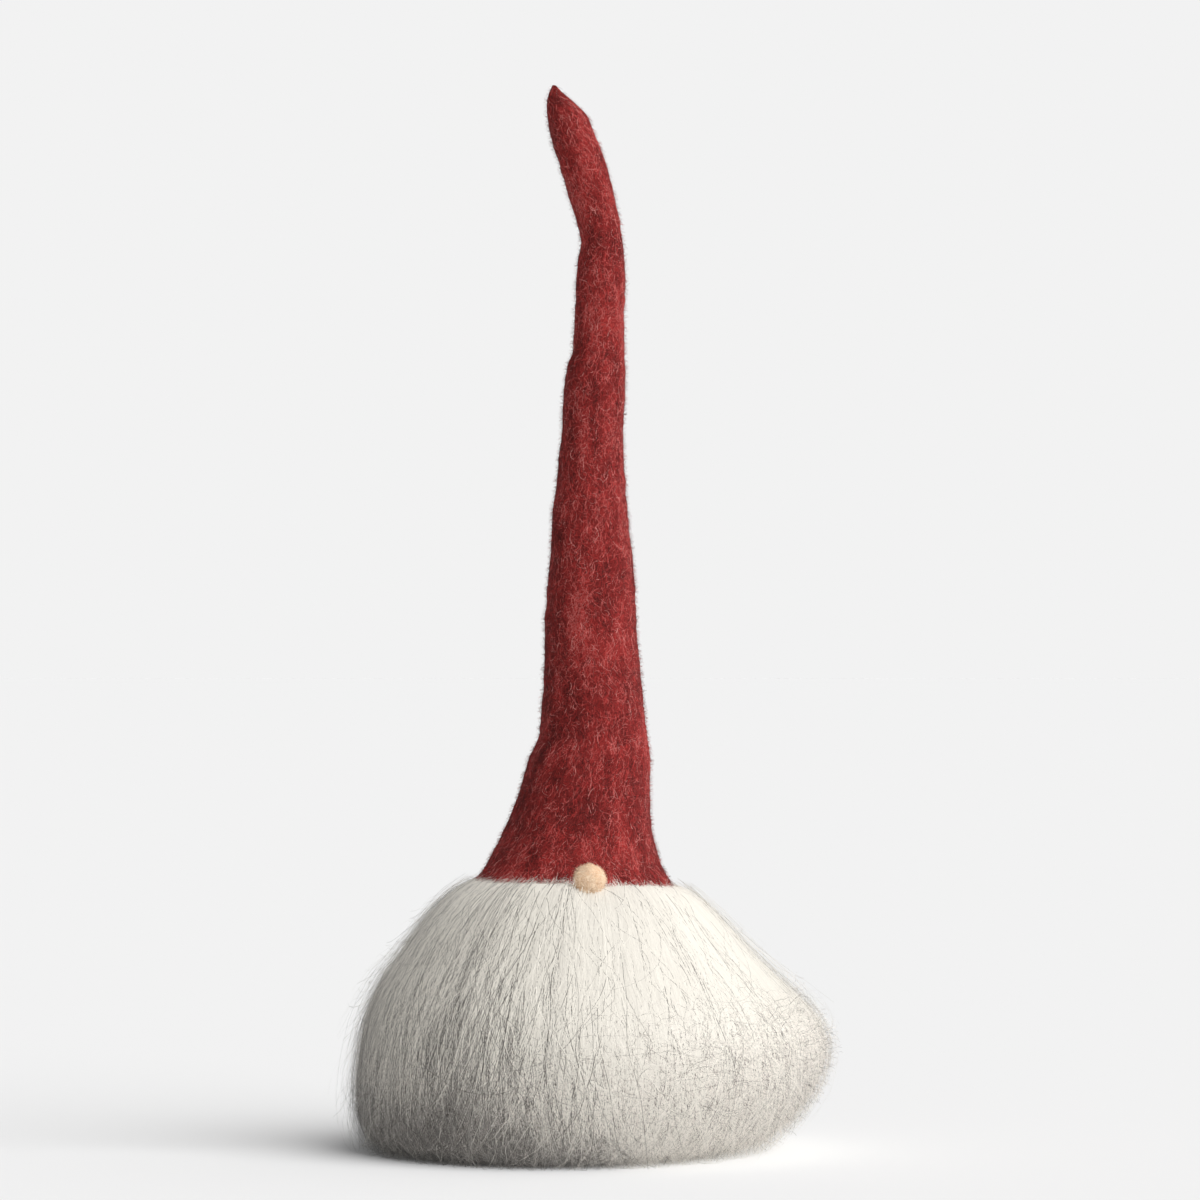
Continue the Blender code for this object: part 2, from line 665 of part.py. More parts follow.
def make_nose(hat_cone, beard):
    """The nose, its thread back to the neck tie, and the hollows that it presses into the brim and the beard."""
    depth = hat_at(NOSE_HEIGHT)[2] - NOSE_SINK
    centre = (NOSE_OFFSET, -depth, NOSE_HEIGHT)
    ball("nose", centre, NOSE_RADIUS, "nose_felt")
    hollow = cutter(ball("nose_hollow", centre, NOSE_RADIUS + CLEARANCE, "nose_felt"))
    cut(hat_cone, hollow)
    cut(beard, hollow)
    tie_front = NECK_RADIUS + 2 * CLEARANCE + 2 * NECK_TIE_RADIUS + THREAD_RADIUS
    path = [(NOSE_OFFSET, -depth + NOSE_RADIUS + CLEARANCE, NOSE_HEIGHT), (NOSE_OFFSET / 2, -tie_front, NOSE_HEIGHT)]
    tube("nose_thread", path, THREAD_RADIUS, "cotton")


def main():
    clear_scene()
    make_foot()
    make_body()
    beard = make_wool()
    hat_cone = make_hat()
    make_nose(hat_cone, beard)


main()
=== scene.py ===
# %% [markdown]
# # A tomte gnome of felt and sheep's wool
# The real figurine is nearly all fibre: a wet-felted hat over soft wire, and a body that is hidden by long
# locks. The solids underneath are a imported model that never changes. This script gives it its skin, its
# fibres, its finishes, a floor, a light and a camera.

# %% Load the frame
import json
import math

import bpy
import numpy as np
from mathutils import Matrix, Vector

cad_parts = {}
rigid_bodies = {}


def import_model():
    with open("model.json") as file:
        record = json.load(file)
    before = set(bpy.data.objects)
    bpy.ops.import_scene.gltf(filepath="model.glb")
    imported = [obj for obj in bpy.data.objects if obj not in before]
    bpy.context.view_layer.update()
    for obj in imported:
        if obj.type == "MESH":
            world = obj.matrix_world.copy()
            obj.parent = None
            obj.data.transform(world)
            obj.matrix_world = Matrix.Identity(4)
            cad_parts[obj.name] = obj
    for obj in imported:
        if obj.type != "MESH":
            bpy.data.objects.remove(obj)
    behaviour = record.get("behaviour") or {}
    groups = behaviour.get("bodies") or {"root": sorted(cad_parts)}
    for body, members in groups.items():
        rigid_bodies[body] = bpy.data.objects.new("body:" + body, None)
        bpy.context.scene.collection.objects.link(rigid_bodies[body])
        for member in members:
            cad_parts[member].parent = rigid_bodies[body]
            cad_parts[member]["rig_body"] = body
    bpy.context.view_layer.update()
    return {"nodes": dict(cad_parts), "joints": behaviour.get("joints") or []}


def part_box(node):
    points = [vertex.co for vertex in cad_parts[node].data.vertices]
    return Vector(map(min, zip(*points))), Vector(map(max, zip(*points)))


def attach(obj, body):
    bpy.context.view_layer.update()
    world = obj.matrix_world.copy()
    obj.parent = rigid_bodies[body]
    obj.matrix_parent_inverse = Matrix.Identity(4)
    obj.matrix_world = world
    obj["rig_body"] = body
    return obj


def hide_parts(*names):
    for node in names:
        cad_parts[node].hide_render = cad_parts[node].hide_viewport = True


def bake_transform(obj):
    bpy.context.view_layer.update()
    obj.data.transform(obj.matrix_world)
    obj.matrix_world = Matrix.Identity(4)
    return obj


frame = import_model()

nodes = frame["nodes"]
MM = 0.001

# %% [markdown]
# ## Colours and shader nodes
# Colours are written as sRGB hex values, as a dyer's card would be read, and one function turns them to the
# linear values that light works with. One more adds a node, so that a material is a short list of its parts.

# %% Colour and node helpers


def linear(hex_colour):
    """An sRGB hex colour as the linear RGBA that a shader takes."""
    parts = [int(hex_colour[k : k + 2], 16) / 255 for k in (1, 3, 5)]
    return (*((c / 12.92 if c <= 0.04045 else ((c + 0.055) / 1.055) ** 2.4) for c in parts), 1.0)


def add_object(name, data):
    """A new object in the scene, from its data."""
    made = bpy.data.objects.new(name, data)
    bpy.context.scene.collection.objects.link(made)
    return made


def add_node(tree, kind, links=(), stops=(), **settings):
    """Adds a shader node with its settings, its links and, on a colour ramp, its stops.

    A link is (output socket, name of the node's input), and a stop is (place, hex colour).
    """
    node = tree.nodes.new("ShaderNode" + kind)
    for name, value in settings.items():
        if hasattr(node, name):
            setattr(node, name, value)
        else:
            node.inputs[name].default_value = value
    for socket, name in links:
        tree.links.new(socket, node.inputs[name])
    points = node.color_ramp.elements if stops else []
    while len(points) < len(stops):
        points.new(0.5)
    for point, (place, colour) in zip(points, stops):
        point.position = place
        point.color = linear(colour)
    return node


def new_material(name, roughness, metallic=0.0, sheen=0.0, gloss=0.5):
    """A material, its node tree and its shader, which holds what is the same all over."""
    made = bpy.data.materials.new(name)
    made.use_nodes = True
    shader = made.node_tree.nodes["Principled BSDF"]
    shader.inputs["Roughness"].default_value = roughness
    shader.inputs["Metallic"].default_value = metallic
    shader.inputs["Sheen Weight"].default_value = sheen
    shader.inputs["Specular IOR Level"].default_value = gloss
    return made, made.node_tree, shader


def stretched_noise(tree, place, scale, **settings):
    """A noise at a place, stretched by a scale for each axis."""
    turned = add_node(tree, "Mapping", [(place, "Vector")], Scale=scale)
    return add_node(tree, "TexNoise", [(turned.outputs["Vector"], "Vector")], Scale=1.0, **settings)


def varied_tone(tree, grain, lowest, highest):
    """A skin's own tone, to which a noise adds from the lowest to the highest."""
    tone_map = add_node(tree, "Attribute", attribute_name="tone")
    limits = {"To Min": lowest, "To Max": highest}
    spread = add_node(tree, "MapRange", [(grain.outputs["Fac"], "Value")], **limits)
    links = [(tone_map.outputs["Fac"], 0), (spread.outputs["Result"], 1)]
    return add_node(tree, "Math", links, operation="ADD").outputs["Value"]


def finish_surface(tree, shader, tone, stops, relief=0.0, height=None, strength=0.5):
    """Colours a shader by a tone, and raises its surface by a height, up to a relief in millimetres."""
    ramp = add_node(tree, "ValToRGB", [(tone, "Fac")], stops)
    tree.links.new(ramp.outputs["Color"], shader.inputs["Base Color"])
    if relief:
        raised = add_node(tree, "Bump", [(height or tone, "Height")], Strength=strength, Distance=relief * MM)
        tree.links.new(raised.outputs["Normal"], shader.inputs["Normal"])


# %% [markdown]
# ## Camera, floor and light
# A product picture of this kind is taken level with the middle of the object, with a long lens, on paper
# that vanishes into the backdrop. The camera sees a plain backdrop, and a second background lights the
# object: bright at the right and dark at the left, as with a white board and a black one. The floor
# vanishes when the light it sends back equals the backdrop's, and that fixes its colour. A sun with a very
# wide disc stands for a large softbox at the upper right: its shadows have no edges.

# %% Camera
EYE = Vector((3.0, -2000.0, 206.6)) * MM
LENS = 159.7  # millimetres, on a sensor 36 mm wide

camera_data = bpy.data.cameras.new("camera")
camera_data.lens = LENS
camera_data.sensor_width = 36.0
camera = add_object("camera", camera_data)
camera.location = EYE
camera.rotation_euler = (math.pi / 2, 0, 0)
bpy.context.scene.camera = camera
bpy.context.scene.view_settings.view_transform = "Standard"
print("the view is", round(36 / LENS * -EYE.y / MM), "mm wide at the object")

# %% World, softbox and floor
BACKDROP = "#f2f2f2"
ROOM_LIGHT = 0.47  # the room's mean radiance
ROOM_SHARES = (0.3, 1.7)  # beside the mean, at the dark left and at the bright right
ROOM_EDGE = 0.6  # how far to the side, of 1, the room reaches its darkest and its brightest
SOFTBOX_STRENGTH = 2.6
SOFTBOX_WIDTH = 46.0  # degrees
SOFTBOX_FROM = Vector((0.62, -0.42, 0.78)).normalized()
FLOOR_HALF = 12.0  # metres

world = bpy.data.worlds.new("studio")
world.use_nodes = True
tree = world.node_tree
wall = tree.nodes["Background"]
wall.inputs["Color"].default_value = linear(BACKDROP)
direction = add_node(tree, "TexCoord")
split = add_node(tree, "SeparateXYZ", [(direction.outputs["Generated"], "Vector")])
levels = {"From Min": -ROOM_EDGE, "From Max": ROOM_EDGE, "To Min": ROOM_LIGHT * ROOM_SHARES[0],
          "To Max": ROOM_LIGHT * ROOM_SHARES[1]}
level = add_node(tree, "MapRange", [(split.outputs["X"], "Value")], **levels)
room = add_node(tree, "Background", [(level.outputs["Result"], "Strength")], Color=(1.0, 1.0, 1.0, 1.0))
path = add_node(tree, "LightPath")
either = add_node(tree, "MixShader", [(path.outputs["Is Camera Ray"], 0), (room.outputs["Background"], 1),
                                      (wall.outputs["Background"], 2)])
tree.links.new(either.outputs["Shader"], tree.nodes["World Output"].inputs["Surface"])
bpy.context.scene.world = world

softbox_data = bpy.data.lights.new("softbox", "SUN")
softbox_data.energy = SOFTBOX_STRENGTH
softbox_data.angle = math.radians(SOFTBOX_WIDTH)
softbox = add_object("softbox", softbox_data)
softbox.rotation_euler = SOFTBOX_FROM.to_track_quat("Z", "Y").to_euler()

# The room's two sides make up for each other on the level floor, so it gets the mean.
floor_light = math.pi * ROOM_LIGHT + SOFTBOX_STRENGTH * SOFTBOX_FROM.z
floor_albedo = math.pi * linear(BACKDROP)[0] / floor_light
# Matt white paper: it has no gloss, so it looks the same from every side.
paper, tree, shader = new_material("white_paper", roughness=1.0, gloss=0.0)
shader.inputs["Base Color"].default_value = (floor_albedo, floor_albedo, floor_albedo, 1.0)
floor_mesh = bpy.data.meshes.new("floor")
corners = [(x * FLOOR_HALF, y * FLOOR_HALF, 0) for x, y in ((-1, -1), (1, -1), (1, 1), (-1, 1))]
floor_mesh.from_pydata(corners, [], [(0, 1, 2, 3)])
floor_mesh.materials.append(paper)
floor = add_object("floor", floor_mesh)
print("floor albedo", round(floor_albedo, 3))

# %% [markdown]
# ## Helpers for shapes made of arrays
# Fibres come by the ten thousand, so meshes are filled from whole arrays at once, in seconds where a loop
# over single vertices would take minutes. Lumps and tufts come from a smooth noise with a fixed seed, so
# every run gives the same figurine.

# %% Noise and smooth outlines
NOISE_CELLS = 48
noise_table = np.random.default_rng(7).uniform(-1, 1, (NOISE_CELLS,) * 3)


def noise(points, size, shift=0.0):
    """Smooth noise from -1 to 1 at points (..., 3). Size is its lumps' size, for all axes or for each."""
    place = np.asarray(points) / np.asarray(size) + shift + NOISE_CELLS
    low = np.floor(place).astype(int)
    part = place - low
    part = part * part * (3 - 2 * part)
    total = 0.0
    for corner in np.ndindex(2, 2, 2):
        weight = np.prod(np.where(corner, part, 1 - part), axis=-1)
        cell = (low + corner) % NOISE_CELLS
        total = total + noise_table[cell[..., 0], cell[..., 1], cell[..., 2]] * weight
    return total


def round_place(angle, radius, height):
    """A point at an angle round the upright middle."""
    return np.stack([np.cos(angle) * radius, np.sin(angle) * radius, height], -1)


def smooth_step(value, low, high):
    """0 below low, 1 above high, and a smooth rise between them."""
    part = np.clip((value - low) / (high - low), 0, 1)
    return part * part * (3 - 2 * part)


def softened(line, weights):
    """A line of points, each one the weighted mean of its neighbours, with both ends left in place."""
    reach = len(weights) // 2
    padded = np.concatenate([2 * line[0] - line[reach:0:-1], line, 2 * line[-1] - line[-2 : -reach - 2 : -1]])
    return np.stack([np.convolve(column, weights / weights.sum(), "valid") for column in padded.T], 1)


def smooth_line(rows, spacing, softness):
    """Points along an outline at an even spacing, with its corners softened over a length."""
    rows = np.array(rows, float)
    steps = np.linalg.norm(np.diff(rows[:, :2], axis=0), axis=1)
    along = np.concatenate([[0], np.cumsum(steps)])
    even = np.linspace(0, along[-1], int(along[-1] / spacing) + 1)
    line = np.stack([np.interp(even, along, column) for column in rows.T], 1)
    reach = int(2 * softness / spacing)
    return softened(line, np.exp(-0.5 * (np.arange(-reach, reach + 1) * spacing / softness) ** 2))


# %% Meshes from arrays
BAKE_MAP = "OFBake"


def quad_mesh(name, points, quads, uv, material):
    """A mesh object from points in millimetres (n, 3), quads (m, 4) and a UV for each corner (m, 4, 2)."""
    mesh = bpy.data.meshes.new(name)
    mesh.vertices.add(len(points))
    mesh.vertices.foreach_set("co", (points * MM).astype(np.float32).ravel())
    mesh.loops.add(quads.size)
    mesh.loops.foreach_set("vertex_index", quads.astype(np.int32).ravel())
    mesh.polygons.add(len(quads))
    mesh.polygons.foreach_set("loop_start", np.arange(0, quads.size, 4, dtype=np.int32))
    mesh.update(calc_edges=True)
    layer = mesh.uv_layers.new(name=BAKE_MAP)
    layer.data.foreach_set("uv", uv.astype(np.float32).ravel())
    mesh.polygons.foreach_set("use_smooth", np.ones(len(quads), bool))
    mesh.materials.append(material)
    made = add_object(name, mesh)
    print(name, len(points), "points,", len(quads), "faces")
    return made


def sheet_mesh(name, grid, material):
    """A skin from a grid of points (row, column, xyz) that closes round from its last column to its first."""
    rows, columns, _ = grid.shape
    row, column = np.meshgrid(np.arange(rows - 1), np.arange(columns), indexing="ij")
    corners = [(row, column), (row, column + 1), (row + 1, column + 1), (row + 1, column)]
    quads = np.stack([r * columns + c % columns for r, c in corners], -1).reshape(-1, 4)
    uv = np.stack([np.stack([c / columns, r / (rows - 1)], -1) for r, c in corners], 2).reshape(-1, 4, 2)
    return quad_mesh(name, grid.reshape(-1, 3), quads, uv, material)


def fibre_mesh(name, paths, face, twist, width, tone, rng, material, taper=0.35):
    """Narrow ribbons along paths (fibre, step, xyz).

    Each ribbon's flat side faces along face, give or take a turn of twist radians. Its place across the UV
    map is its tone, for the whole fibre or for each step, and up the map it runs from root to tip. Real wool
    lets light through, and a ribbon doesn't, so ribbons cast no shadows: the skins under them do.
    """
    count, steps, _ = paths.shape
    along = np.gradient(paths, axis=1)
    along /= np.linalg.norm(along, axis=2, keepdims=True) + 1e-9
    flat = np.cross(along, face)
    flat /= np.linalg.norm(flat, axis=2, keepdims=True) + 1e-9
    turn = rng.normal(0, 1, (count, 1, 1)) * np.reshape(twist, (-1, 1, 1))
    side = np.cos(turn) * flat + np.sin(turn) * np.cross(flat, along)
    t = np.linspace(0, 1, steps)
    half = 0.5 * np.reshape(width, (-1, 1)) * (1 - (1 - taper) * t**2)
    points = np.stack([paths - side * half[..., None], paths + side * half[..., None]], 2)
    first = (np.arange(count)[:, None] * steps + np.arange(steps - 1)) * 2
    quads = np.stack([first, first + 1, first + 3, first + 2], -1).reshape(-1, 4)
    strip = 0.006  # a ribbon's width on the map
    tone = np.broadcast_to(np.reshape(tone, (count, -1)), (count, steps))
    u = np.clip(tone, 0.01, 0.99 - strip)[..., None] + np.array([0.0, strip])
    uv = np.stack(np.broadcast_arrays(u, 0.02 + 0.96 * t[None, :, None]), -1).reshape(-1, 2)
    fibres = quad_mesh(name, points.reshape(-1, 3), quads, uv[quads], material)
    fibres.visible_shadow = False
    fibres.visible_diffuse = False
    return fibres


# %% [markdown]
# ## Fibre colours
# Wool is never one colour. Each kind of fibre has one ramp, and each single fibre takes its own place on
# it, so the mixture comes from thousands of fibres and not from paint. The ramp is read across the UV map,
# and up the map the colour moves a little towards that of the weathered tips; at the red fibres the paler
# tips are a painted halo of light.

# %% Fibre materials


def fibre_material(name, stops, tip_colour, tip_share, roughness, sheen=0.0, gloss=0.3):
    """A material that reads a fibre's tone across the map and its place from root to tip up it."""
    made, tree, shader = new_material(name, roughness, sheen=sheen, gloss=gloss)
    place = add_node(tree, "UVMap", uv_map=BAKE_MAP)
    split = add_node(tree, "SeparateXYZ", [(place.outputs["UV"], "Vector")])
    tones = add_node(tree, "ValToRGB", [(split.outputs["X"], "Fac")], stops)
    share = add_node(tree, "MapRange", [(split.outputs["Y"], "Value")], **{"To Max": tip_share})
    mix_links = [(share.outputs["Result"], "Fac"), (tones.outputs["Color"], "Color1")]
    mix = add_node(tree, "MixRGB", mix_links, Color2=linear(tip_colour))
    tree.links.new(mix.outputs["Color"], shader.inputs["Base Color"])
    return made


WOOL_STOPS = ((0.0, "#262322"), (0.25, "#5f5b57"), (0.5, "#9a9690"), (0.75, "#c9c4bb"), (1.0, "#ebe6db"))
FRIZZ_STOPS = ((0.0, "#2b2725"), (0.35, "#786f6a"), (0.7, "#bfb5ad"), (1.0, "#f2eae1"))
RED_STOPS = ((0.0, "#2e0b0b"), (0.3, "#551413"), (0.6, "#83201f"), (0.9, "#b03a37"), (1.0, "#d48f89"))
SKIN_STOPS = ((0.0, "#b98560"), (0.5, "#dcb48e"), (1.0, "#f2dcc0"))
# Raw long wool: silky, so each lock has a soft light along it.
wool_locks = fibre_material("long_wool_locks", WOOL_STOPS, "#c9c2b6", 0.05, roughness=0.6, sheen=0.15)
# Crimped short wool: a little warmer and paler than the locks.
wool_frizz = fibre_material("crimped_wool", FRIZZ_STOPS, "#cfc6bb", 0.06, roughness=0.6, sheen=0.15)
# Dyed wool: dull and deep red. Its paler tips are a painted halo where fibres stand against the light.
red_fibre = fibre_material("madder_red_wool", RED_STOPS, "#a04541", 0.15, roughness=0.8, gloss=0.15)
# Fine wool dyed the colour of skin: a bright down.
nose_fibre = fibre_material("peach_wool", SKIN_STOPS, "#f0e0c8", 0.3, roughness=0.7, sheen=0.2)

# %% [markdown]
# ## The hat
# The real hat is one wet-felted cone, pulled long and shrunk round a soft wire. Here it is one surface of
# revolution about a leaning middle line, with its lumps and its shrink ridges moved in the mesh itself, and
# its edge rolled in. It crosses three bends of the wire, and a mesh may follow only one joint, so the skin
# is cut into three tubes in the stiff stretches between the bends, where nothing moves.

# %% The hat's outline
# Height, lean of the middle line to the right, and radius, from the brim to the tip.
HAT_ROWS = (
    (101.0, -6.8, 37.2), (105.0, -6.7, 34.2), (109.3, -6.6, 31.8), (117.0, -5.5, 28.5), (124.2, -4.4, 26.3),
    (132.3, -3.1, 24.7), (140.0, -2.1, 23.5), (147.6, -0.8, 22.3), (152.1, 0.0, 20.8), (155.0, 0.4, 19.8),
    (163.5, 0.4, 19.0), (172.0, 0.3, 18.4), (184.0, -0.1, 17.4), (201.7, -0.6, 16.6), (220.8, -0.4, 15.7),
    (237.7, -0.4, 14.0), (259.2, -0.4, 12.1), (267.2, -0.1, 11.6), (286.3, 1.4, 11.3), (295.5, 1.7, 10.5),
    (299.0, 2.4, 9.4), (315.0, 2.6, 9.1), (324.7, 3.4, 9.1), (334.3, 3.4, 8.6), (341.5, 3.7, 7.7),
    (349.5, 2.3, 8.2), (357.7, -0.1, 8.7), (371.0, -3.6, 8.5), (381.6, -7.3, 8.2), (387.9, -9.1, 7.6),
    (393.3, -11.8, 5.1), (397.4, -13.7, 2.2), (400.0, -14.3, 0.5),
)
FELT_THICKNESS = 2.5
HEM_DEPTH = 12.0  # how far up the inside of the brim the felt is made
HAT_COLUMNS = 176
HAT_SPACING = 0.7
hat_heights = np.array([row[0] for row in HAT_ROWS])
BRIM_HEIGHT = hat_heights[0]
hat_line = smooth_line(HAT_ROWS, HAT_SPACING / 2, 1.3)


def hat_radius(height):
    """The hat's radius at heights."""
    return np.interp(height, hat_line[:, 0], hat_line[:, 2])


def brim_lift(angle):
    """How far the brim stands above its mean height: it dips at the right and arches over the nose."""
    return -0.9 - 1.3 * np.cos(angle) + 2.2 * np.clip(-np.sin(angle), 0, 1) ** 2


def hat_point(height, angle, inset=0.0):
    """The hat's outer face at heights and angles, moved in by an inset, with the felt's own lumps."""
    lean = np.interp(height, hat_line[:, 0], hat_line[:, 1])
    radius = hat_radius(height)
    lift = brim_lift(angle) * np.exp(-((height - BRIM_HEIGHT) / 11.0))
    plain = np.stack([lean + radius * np.cos(angle), radius * np.sin(angle), height + lift], -1)
    lump = 0.42 * noise(plain, 15.0) + 0.28 * noise(plain, (15.0, 15.0, 4.5), 3.3)
    fine = 0.18 * noise(plain, 2.4, 5.1) + 0.08 * noise(plain, (0.8, 0.8, 1.6), 9.7)
    grow = (lump + fine) * smooth_step(radius, 0.5, 9.0) - inset
    plain[..., 0] += grow * np.cos(angle)
    plain[..., 1] += grow * np.sin(angle)
    return plain


# %% The felt's colour
# Felt from dyed wool: the fibres were of several reds before they were felted, so there are darker streaks
# about 5 mm wide and 15 mm long. The single fibres are 0.03 mm thick, too fine to show, and are drawn 0.4
# mm wide.
STREAK_SIZE = (4.5, 4.5, 14.0)
FIBRE_SIZE = (0.4, 0.4, 1.1)
FELT_STOPS = ((0.15, "#320c0c"), (0.38, "#5a1514"), (0.55, "#7b211f"), (0.75, "#9c322f"), (0.95, "#bb4a46"))


def felt_tone_and_shade(points):
    """The felt's tone from 0, dark, to 1, pale, at points on the hat, with painted shade on its left."""
    streaks = noise(points, STREAK_SIZE, 1.7)
    patches = noise(points, 22.0, 4.1)
    # Painted shade: the hat's left side, away from the light, is made darker.
    left = smooth_step(-points[..., 0], 0.0, 14.0)
    return 0.55 + 0.21 * streaks + 0.09 * patches - 0.08 * left


red_felt, tree, shader = new_material("wet_felted_wool", roughness=0.95, sheen=0.04, gloss=0.1)
place = add_node(tree, "TexCoord").outputs["Object"]
fibres = stretched_noise(tree, place, [1 / (MM * size) for size in FIBRE_SIZE], Detail=3.0, Roughness=0.6)
tone = varied_tone(tree, fibres, -0.4, 0.4)
finish_surface(tree, shader, tone, FELT_STOPS, relief=0.3, height=fibres.outputs["Fac"])


def set_tone(piece, tone):
    """Gives a skin its tone, point by point."""
    attribute = piece.data.attributes.new("tone", "FLOAT", "POINT")
    attribute.data.foreach_set("value", np.ascontiguousarray(tone, np.float32).ravel())


# %% The hat's skin
# Each tube of skin runs between two stiff stretches, across the joint between them.
SPLITS = (226.0, 321.0)  # heights in stiff stretches, where one tube of skin meets the next
angles = np.linspace(0, 2 * math.pi, HAT_COLUMNS, endpoint=False)
bends = [(joint["parent"], joint["child"], joint["pos_m"][2] / MM) for joint in frame["joints"]]
SKIN_NAMES = ("hat_skin_lower", "hat_skin_middle", "hat_skin_tip")
SKIN_REPLACES = (("hat_cone", "hat_shaft"), ("hat_top",), ("hat_tip",))


def hem_rows():
    """(height, inset) down the inside of the brim and round its rolled edge."""
    half = FELT_THICKNESS / 2
    inside = [(BRIM_HEIGHT + h, FELT_THICKNESS) for h in np.linspace(HEM_DEPTH, half, 16)]
    turns = np.linspace(0.2, 3.0, 9)
    edge = [(BRIM_HEIGHT + half * (1 - math.sin(a)), half * (1 + math.cos(a))) for a in turns]
    return inside + edge


def bend_at(piece):
    """Bakes a piece's placement into its mesh."""
    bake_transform(piece)


tops = [*SPLITS, hat_heights[-1]]
lows = [BRIM_HEIGHT + FELT_THICKNESS / 2, *SPLITS]
for number, name in enumerate(SKIN_NAMES):
    row_count = int((tops[number] - lows[number]) / HAT_SPACING) + 1
    outside = np.linspace(lows[number], tops[number], row_count)
    rows = (hem_rows() if number == 0 else []) + [(height, 0.0) for height in outside]
    height, inset = (np.array(column)[:, None] for column in zip(*rows))
    grid = hat_point(*np.broadcast_arrays(height, angles[None, :]), inset)
    skin = sheet_mesh(name, grid, red_felt)
    set_tone(skin, felt_tone_and_shade(grid))
    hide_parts(*SKIN_REPLACES[number])
    bend_at(skin)

# %% [markdown]
# ## Felt fuzz
# Felt is soft at its edge because some fibres stand out of it. Most lie down along the hat, and a few stand
# up by a millimetre or two. They are real fibres here, since their outline is what says felt.

# %% Fuzz on the hat
FUZZ_STEPS = 5


def outward(angle, steps):
    """Directions away from the upright middle, for fibres at angles, at every step."""
    out = round_place(angle, 1, np.zeros_like(angle))
    return np.repeat(out[:, None, :], steps, 1)


def fuzz_paths(rng, height, angle, length, rise, spread):
    """Short curved fibres on the hat, which turn away from straight up or down by a spread in radians."""
    count = len(height)
    heading = rng.normal(0, spread, (count, 1)) + np.where(rng.random((count, 1)) < 0.5, 0, math.pi)
    bow = rng.normal(0, 0.9, (count, 1))
    t = np.linspace(-0.5, 0.5, FUZZ_STEPS)
    run = length[:, None] * t
    sway = bow * length[:, None] * (t**2 - 0.08)
    up = run * np.cos(heading) - sway * np.sin(heading)
    across = run * np.sin(heading) + sway * np.cos(heading)
    lifted = rise[:, None] * (t + 0.5) ** 1.5 + 0.05
    h = np.clip(height[:, None] + up, BRIM_HEIGHT - 0.6, hat_heights[-1] - 0.2)
    radius = np.maximum(hat_radius(h), 1.5)
    return hat_point(h, angle[:, None] + across / radius, -lifted)


def places_on_hat(rng, low, high, per_mm2):
    """Heights and angles of places spread evenly over the hat's skin."""
    heights = np.linspace(low, high, 200)
    radius = hat_radius(heights)
    spread = np.cumsum(radius)
    count = int(2 * math.pi * radius.mean() * (high - low) * per_mm2)
    height = np.interp(rng.random(count) * spread[-1], spread, heights)
    return height, rng.uniform(0, 2 * math.pi, count)


# Kind of fibre: how many for each square millimetre, length, rise at the tip, spread, and width.
FUZZ_KINDS = (
    ("lying", 1.3, (2.0, 6.0), (-0.05, 0.25), 0.5, (0.15, 0.3)),
    ("crossing", 1.1, (1.0, 3.5), (0.0, 0.6), 1.2, (0.1, 0.2)),
    ("standing", 1.2, (0.9, 3.0), (0.5, 1.9), 1.5, (0.07, 0.12)),
)
FUZZ_TONE_SPREAD = 0.33
PALE_FUZZ_SHARE = 0.02  # fibres that took little dye, the palest of all
rng = np.random.default_rng(11)
for number, part in enumerate(("lower", "middle", "tip")):
    low, high = (BRIM_HEIGHT, *SPLITS)[number], tops[number]
    for kind, per_mm2, lengths, rises, spread, widths in FUZZ_KINDS:
        height, angle = places_on_hat(rng, low, high, per_mm2)
        count = len(height)
        length = rng.uniform(*lengths, count)
        rise = rng.uniform(*rises, count)
        paths = fuzz_paths(rng, height, angle, length, rise, spread)
        # The fuzz takes the felt's tone, painted shade at the left included.
        tone = felt_tone_and_shade(hat_point(height, angle)) + rng.normal(0.0, FUZZ_TONE_SPREAD, count)
        tone = np.where(rng.random(count) < PALE_FUZZ_SHARE, 1.0, np.clip(tone, 0, 0.93))
        fuzz = fibre_mesh(f"hat_fuzz_{part}_{kind}", paths, outward(angle, FUZZ_STEPS), 0.25,
                          rng.uniform(*widths, count), tone, rng, red_fibre)
        bend_at(fuzz)

# %% [markdown]
# ## The nose
# A ball of pale wool, needled until it is firm. It is a little wider than high, its skin is lumpy, and
# short fibres stand out of it.

# %% Nose
low, high = (np.array(corner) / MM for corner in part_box("nose"))
NOSE_DROP = 1.0  # the needled ball sits this much lower in its hollow
NOSE_CENTRE = (low + high) / 2 - np.array([0, 0, NOSE_DROP])
NOSE_RADII = np.array([6.3, 6.2, 5.6])
NOSE_ROWS = 70
NOSE_FIBRE_STEPS = 6
FINE_WIDTHS = (0.07, 0.13)


def nose_point(turn, tilt, lift=0.0):
    """A point on the nose at a turn round it and a tilt up from its middle, moved out by a lift."""
    out = np.stack([np.cos(turn) * np.cos(tilt), np.sin(turn) * np.cos(tilt), np.sin(tilt)], -1)
    round_it = out * NOSE_RADII
    lump = 0.28 * noise(round_it, 4.0) + 0.1 * noise(round_it, 1.3) + 0.05 * noise(out * 6, 0.5)
    return NOSE_CENTRE + out * (NOSE_RADII + (lump + lift)[..., None])


peach_felt, tree, shader = new_material("needled_peach_wool", roughness=0.9, sheen=0.2)
place = add_node(tree, "TexCoord")
grain = add_node(tree, "TexNoise", [(place.outputs["Object"], "Vector")], Scale=0.5 / MM, Detail=4.0)
finish_surface(tree, shader, grain.outputs["Fac"], ((0.3, "#c1916c"), (0.5, "#dcb48e"), (0.7, "#ecd0ae")))
turn, tilt = np.meshgrid(np.linspace(0, 2 * math.pi, 2 * NOSE_ROWS, endpoint=False),
                         np.linspace(-1.55, 1.55, NOSE_ROWS))
nose = sheet_mesh("nose_ball", nose_point(turn, tilt), peach_felt)
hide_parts("nose")
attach(nose, "figure")

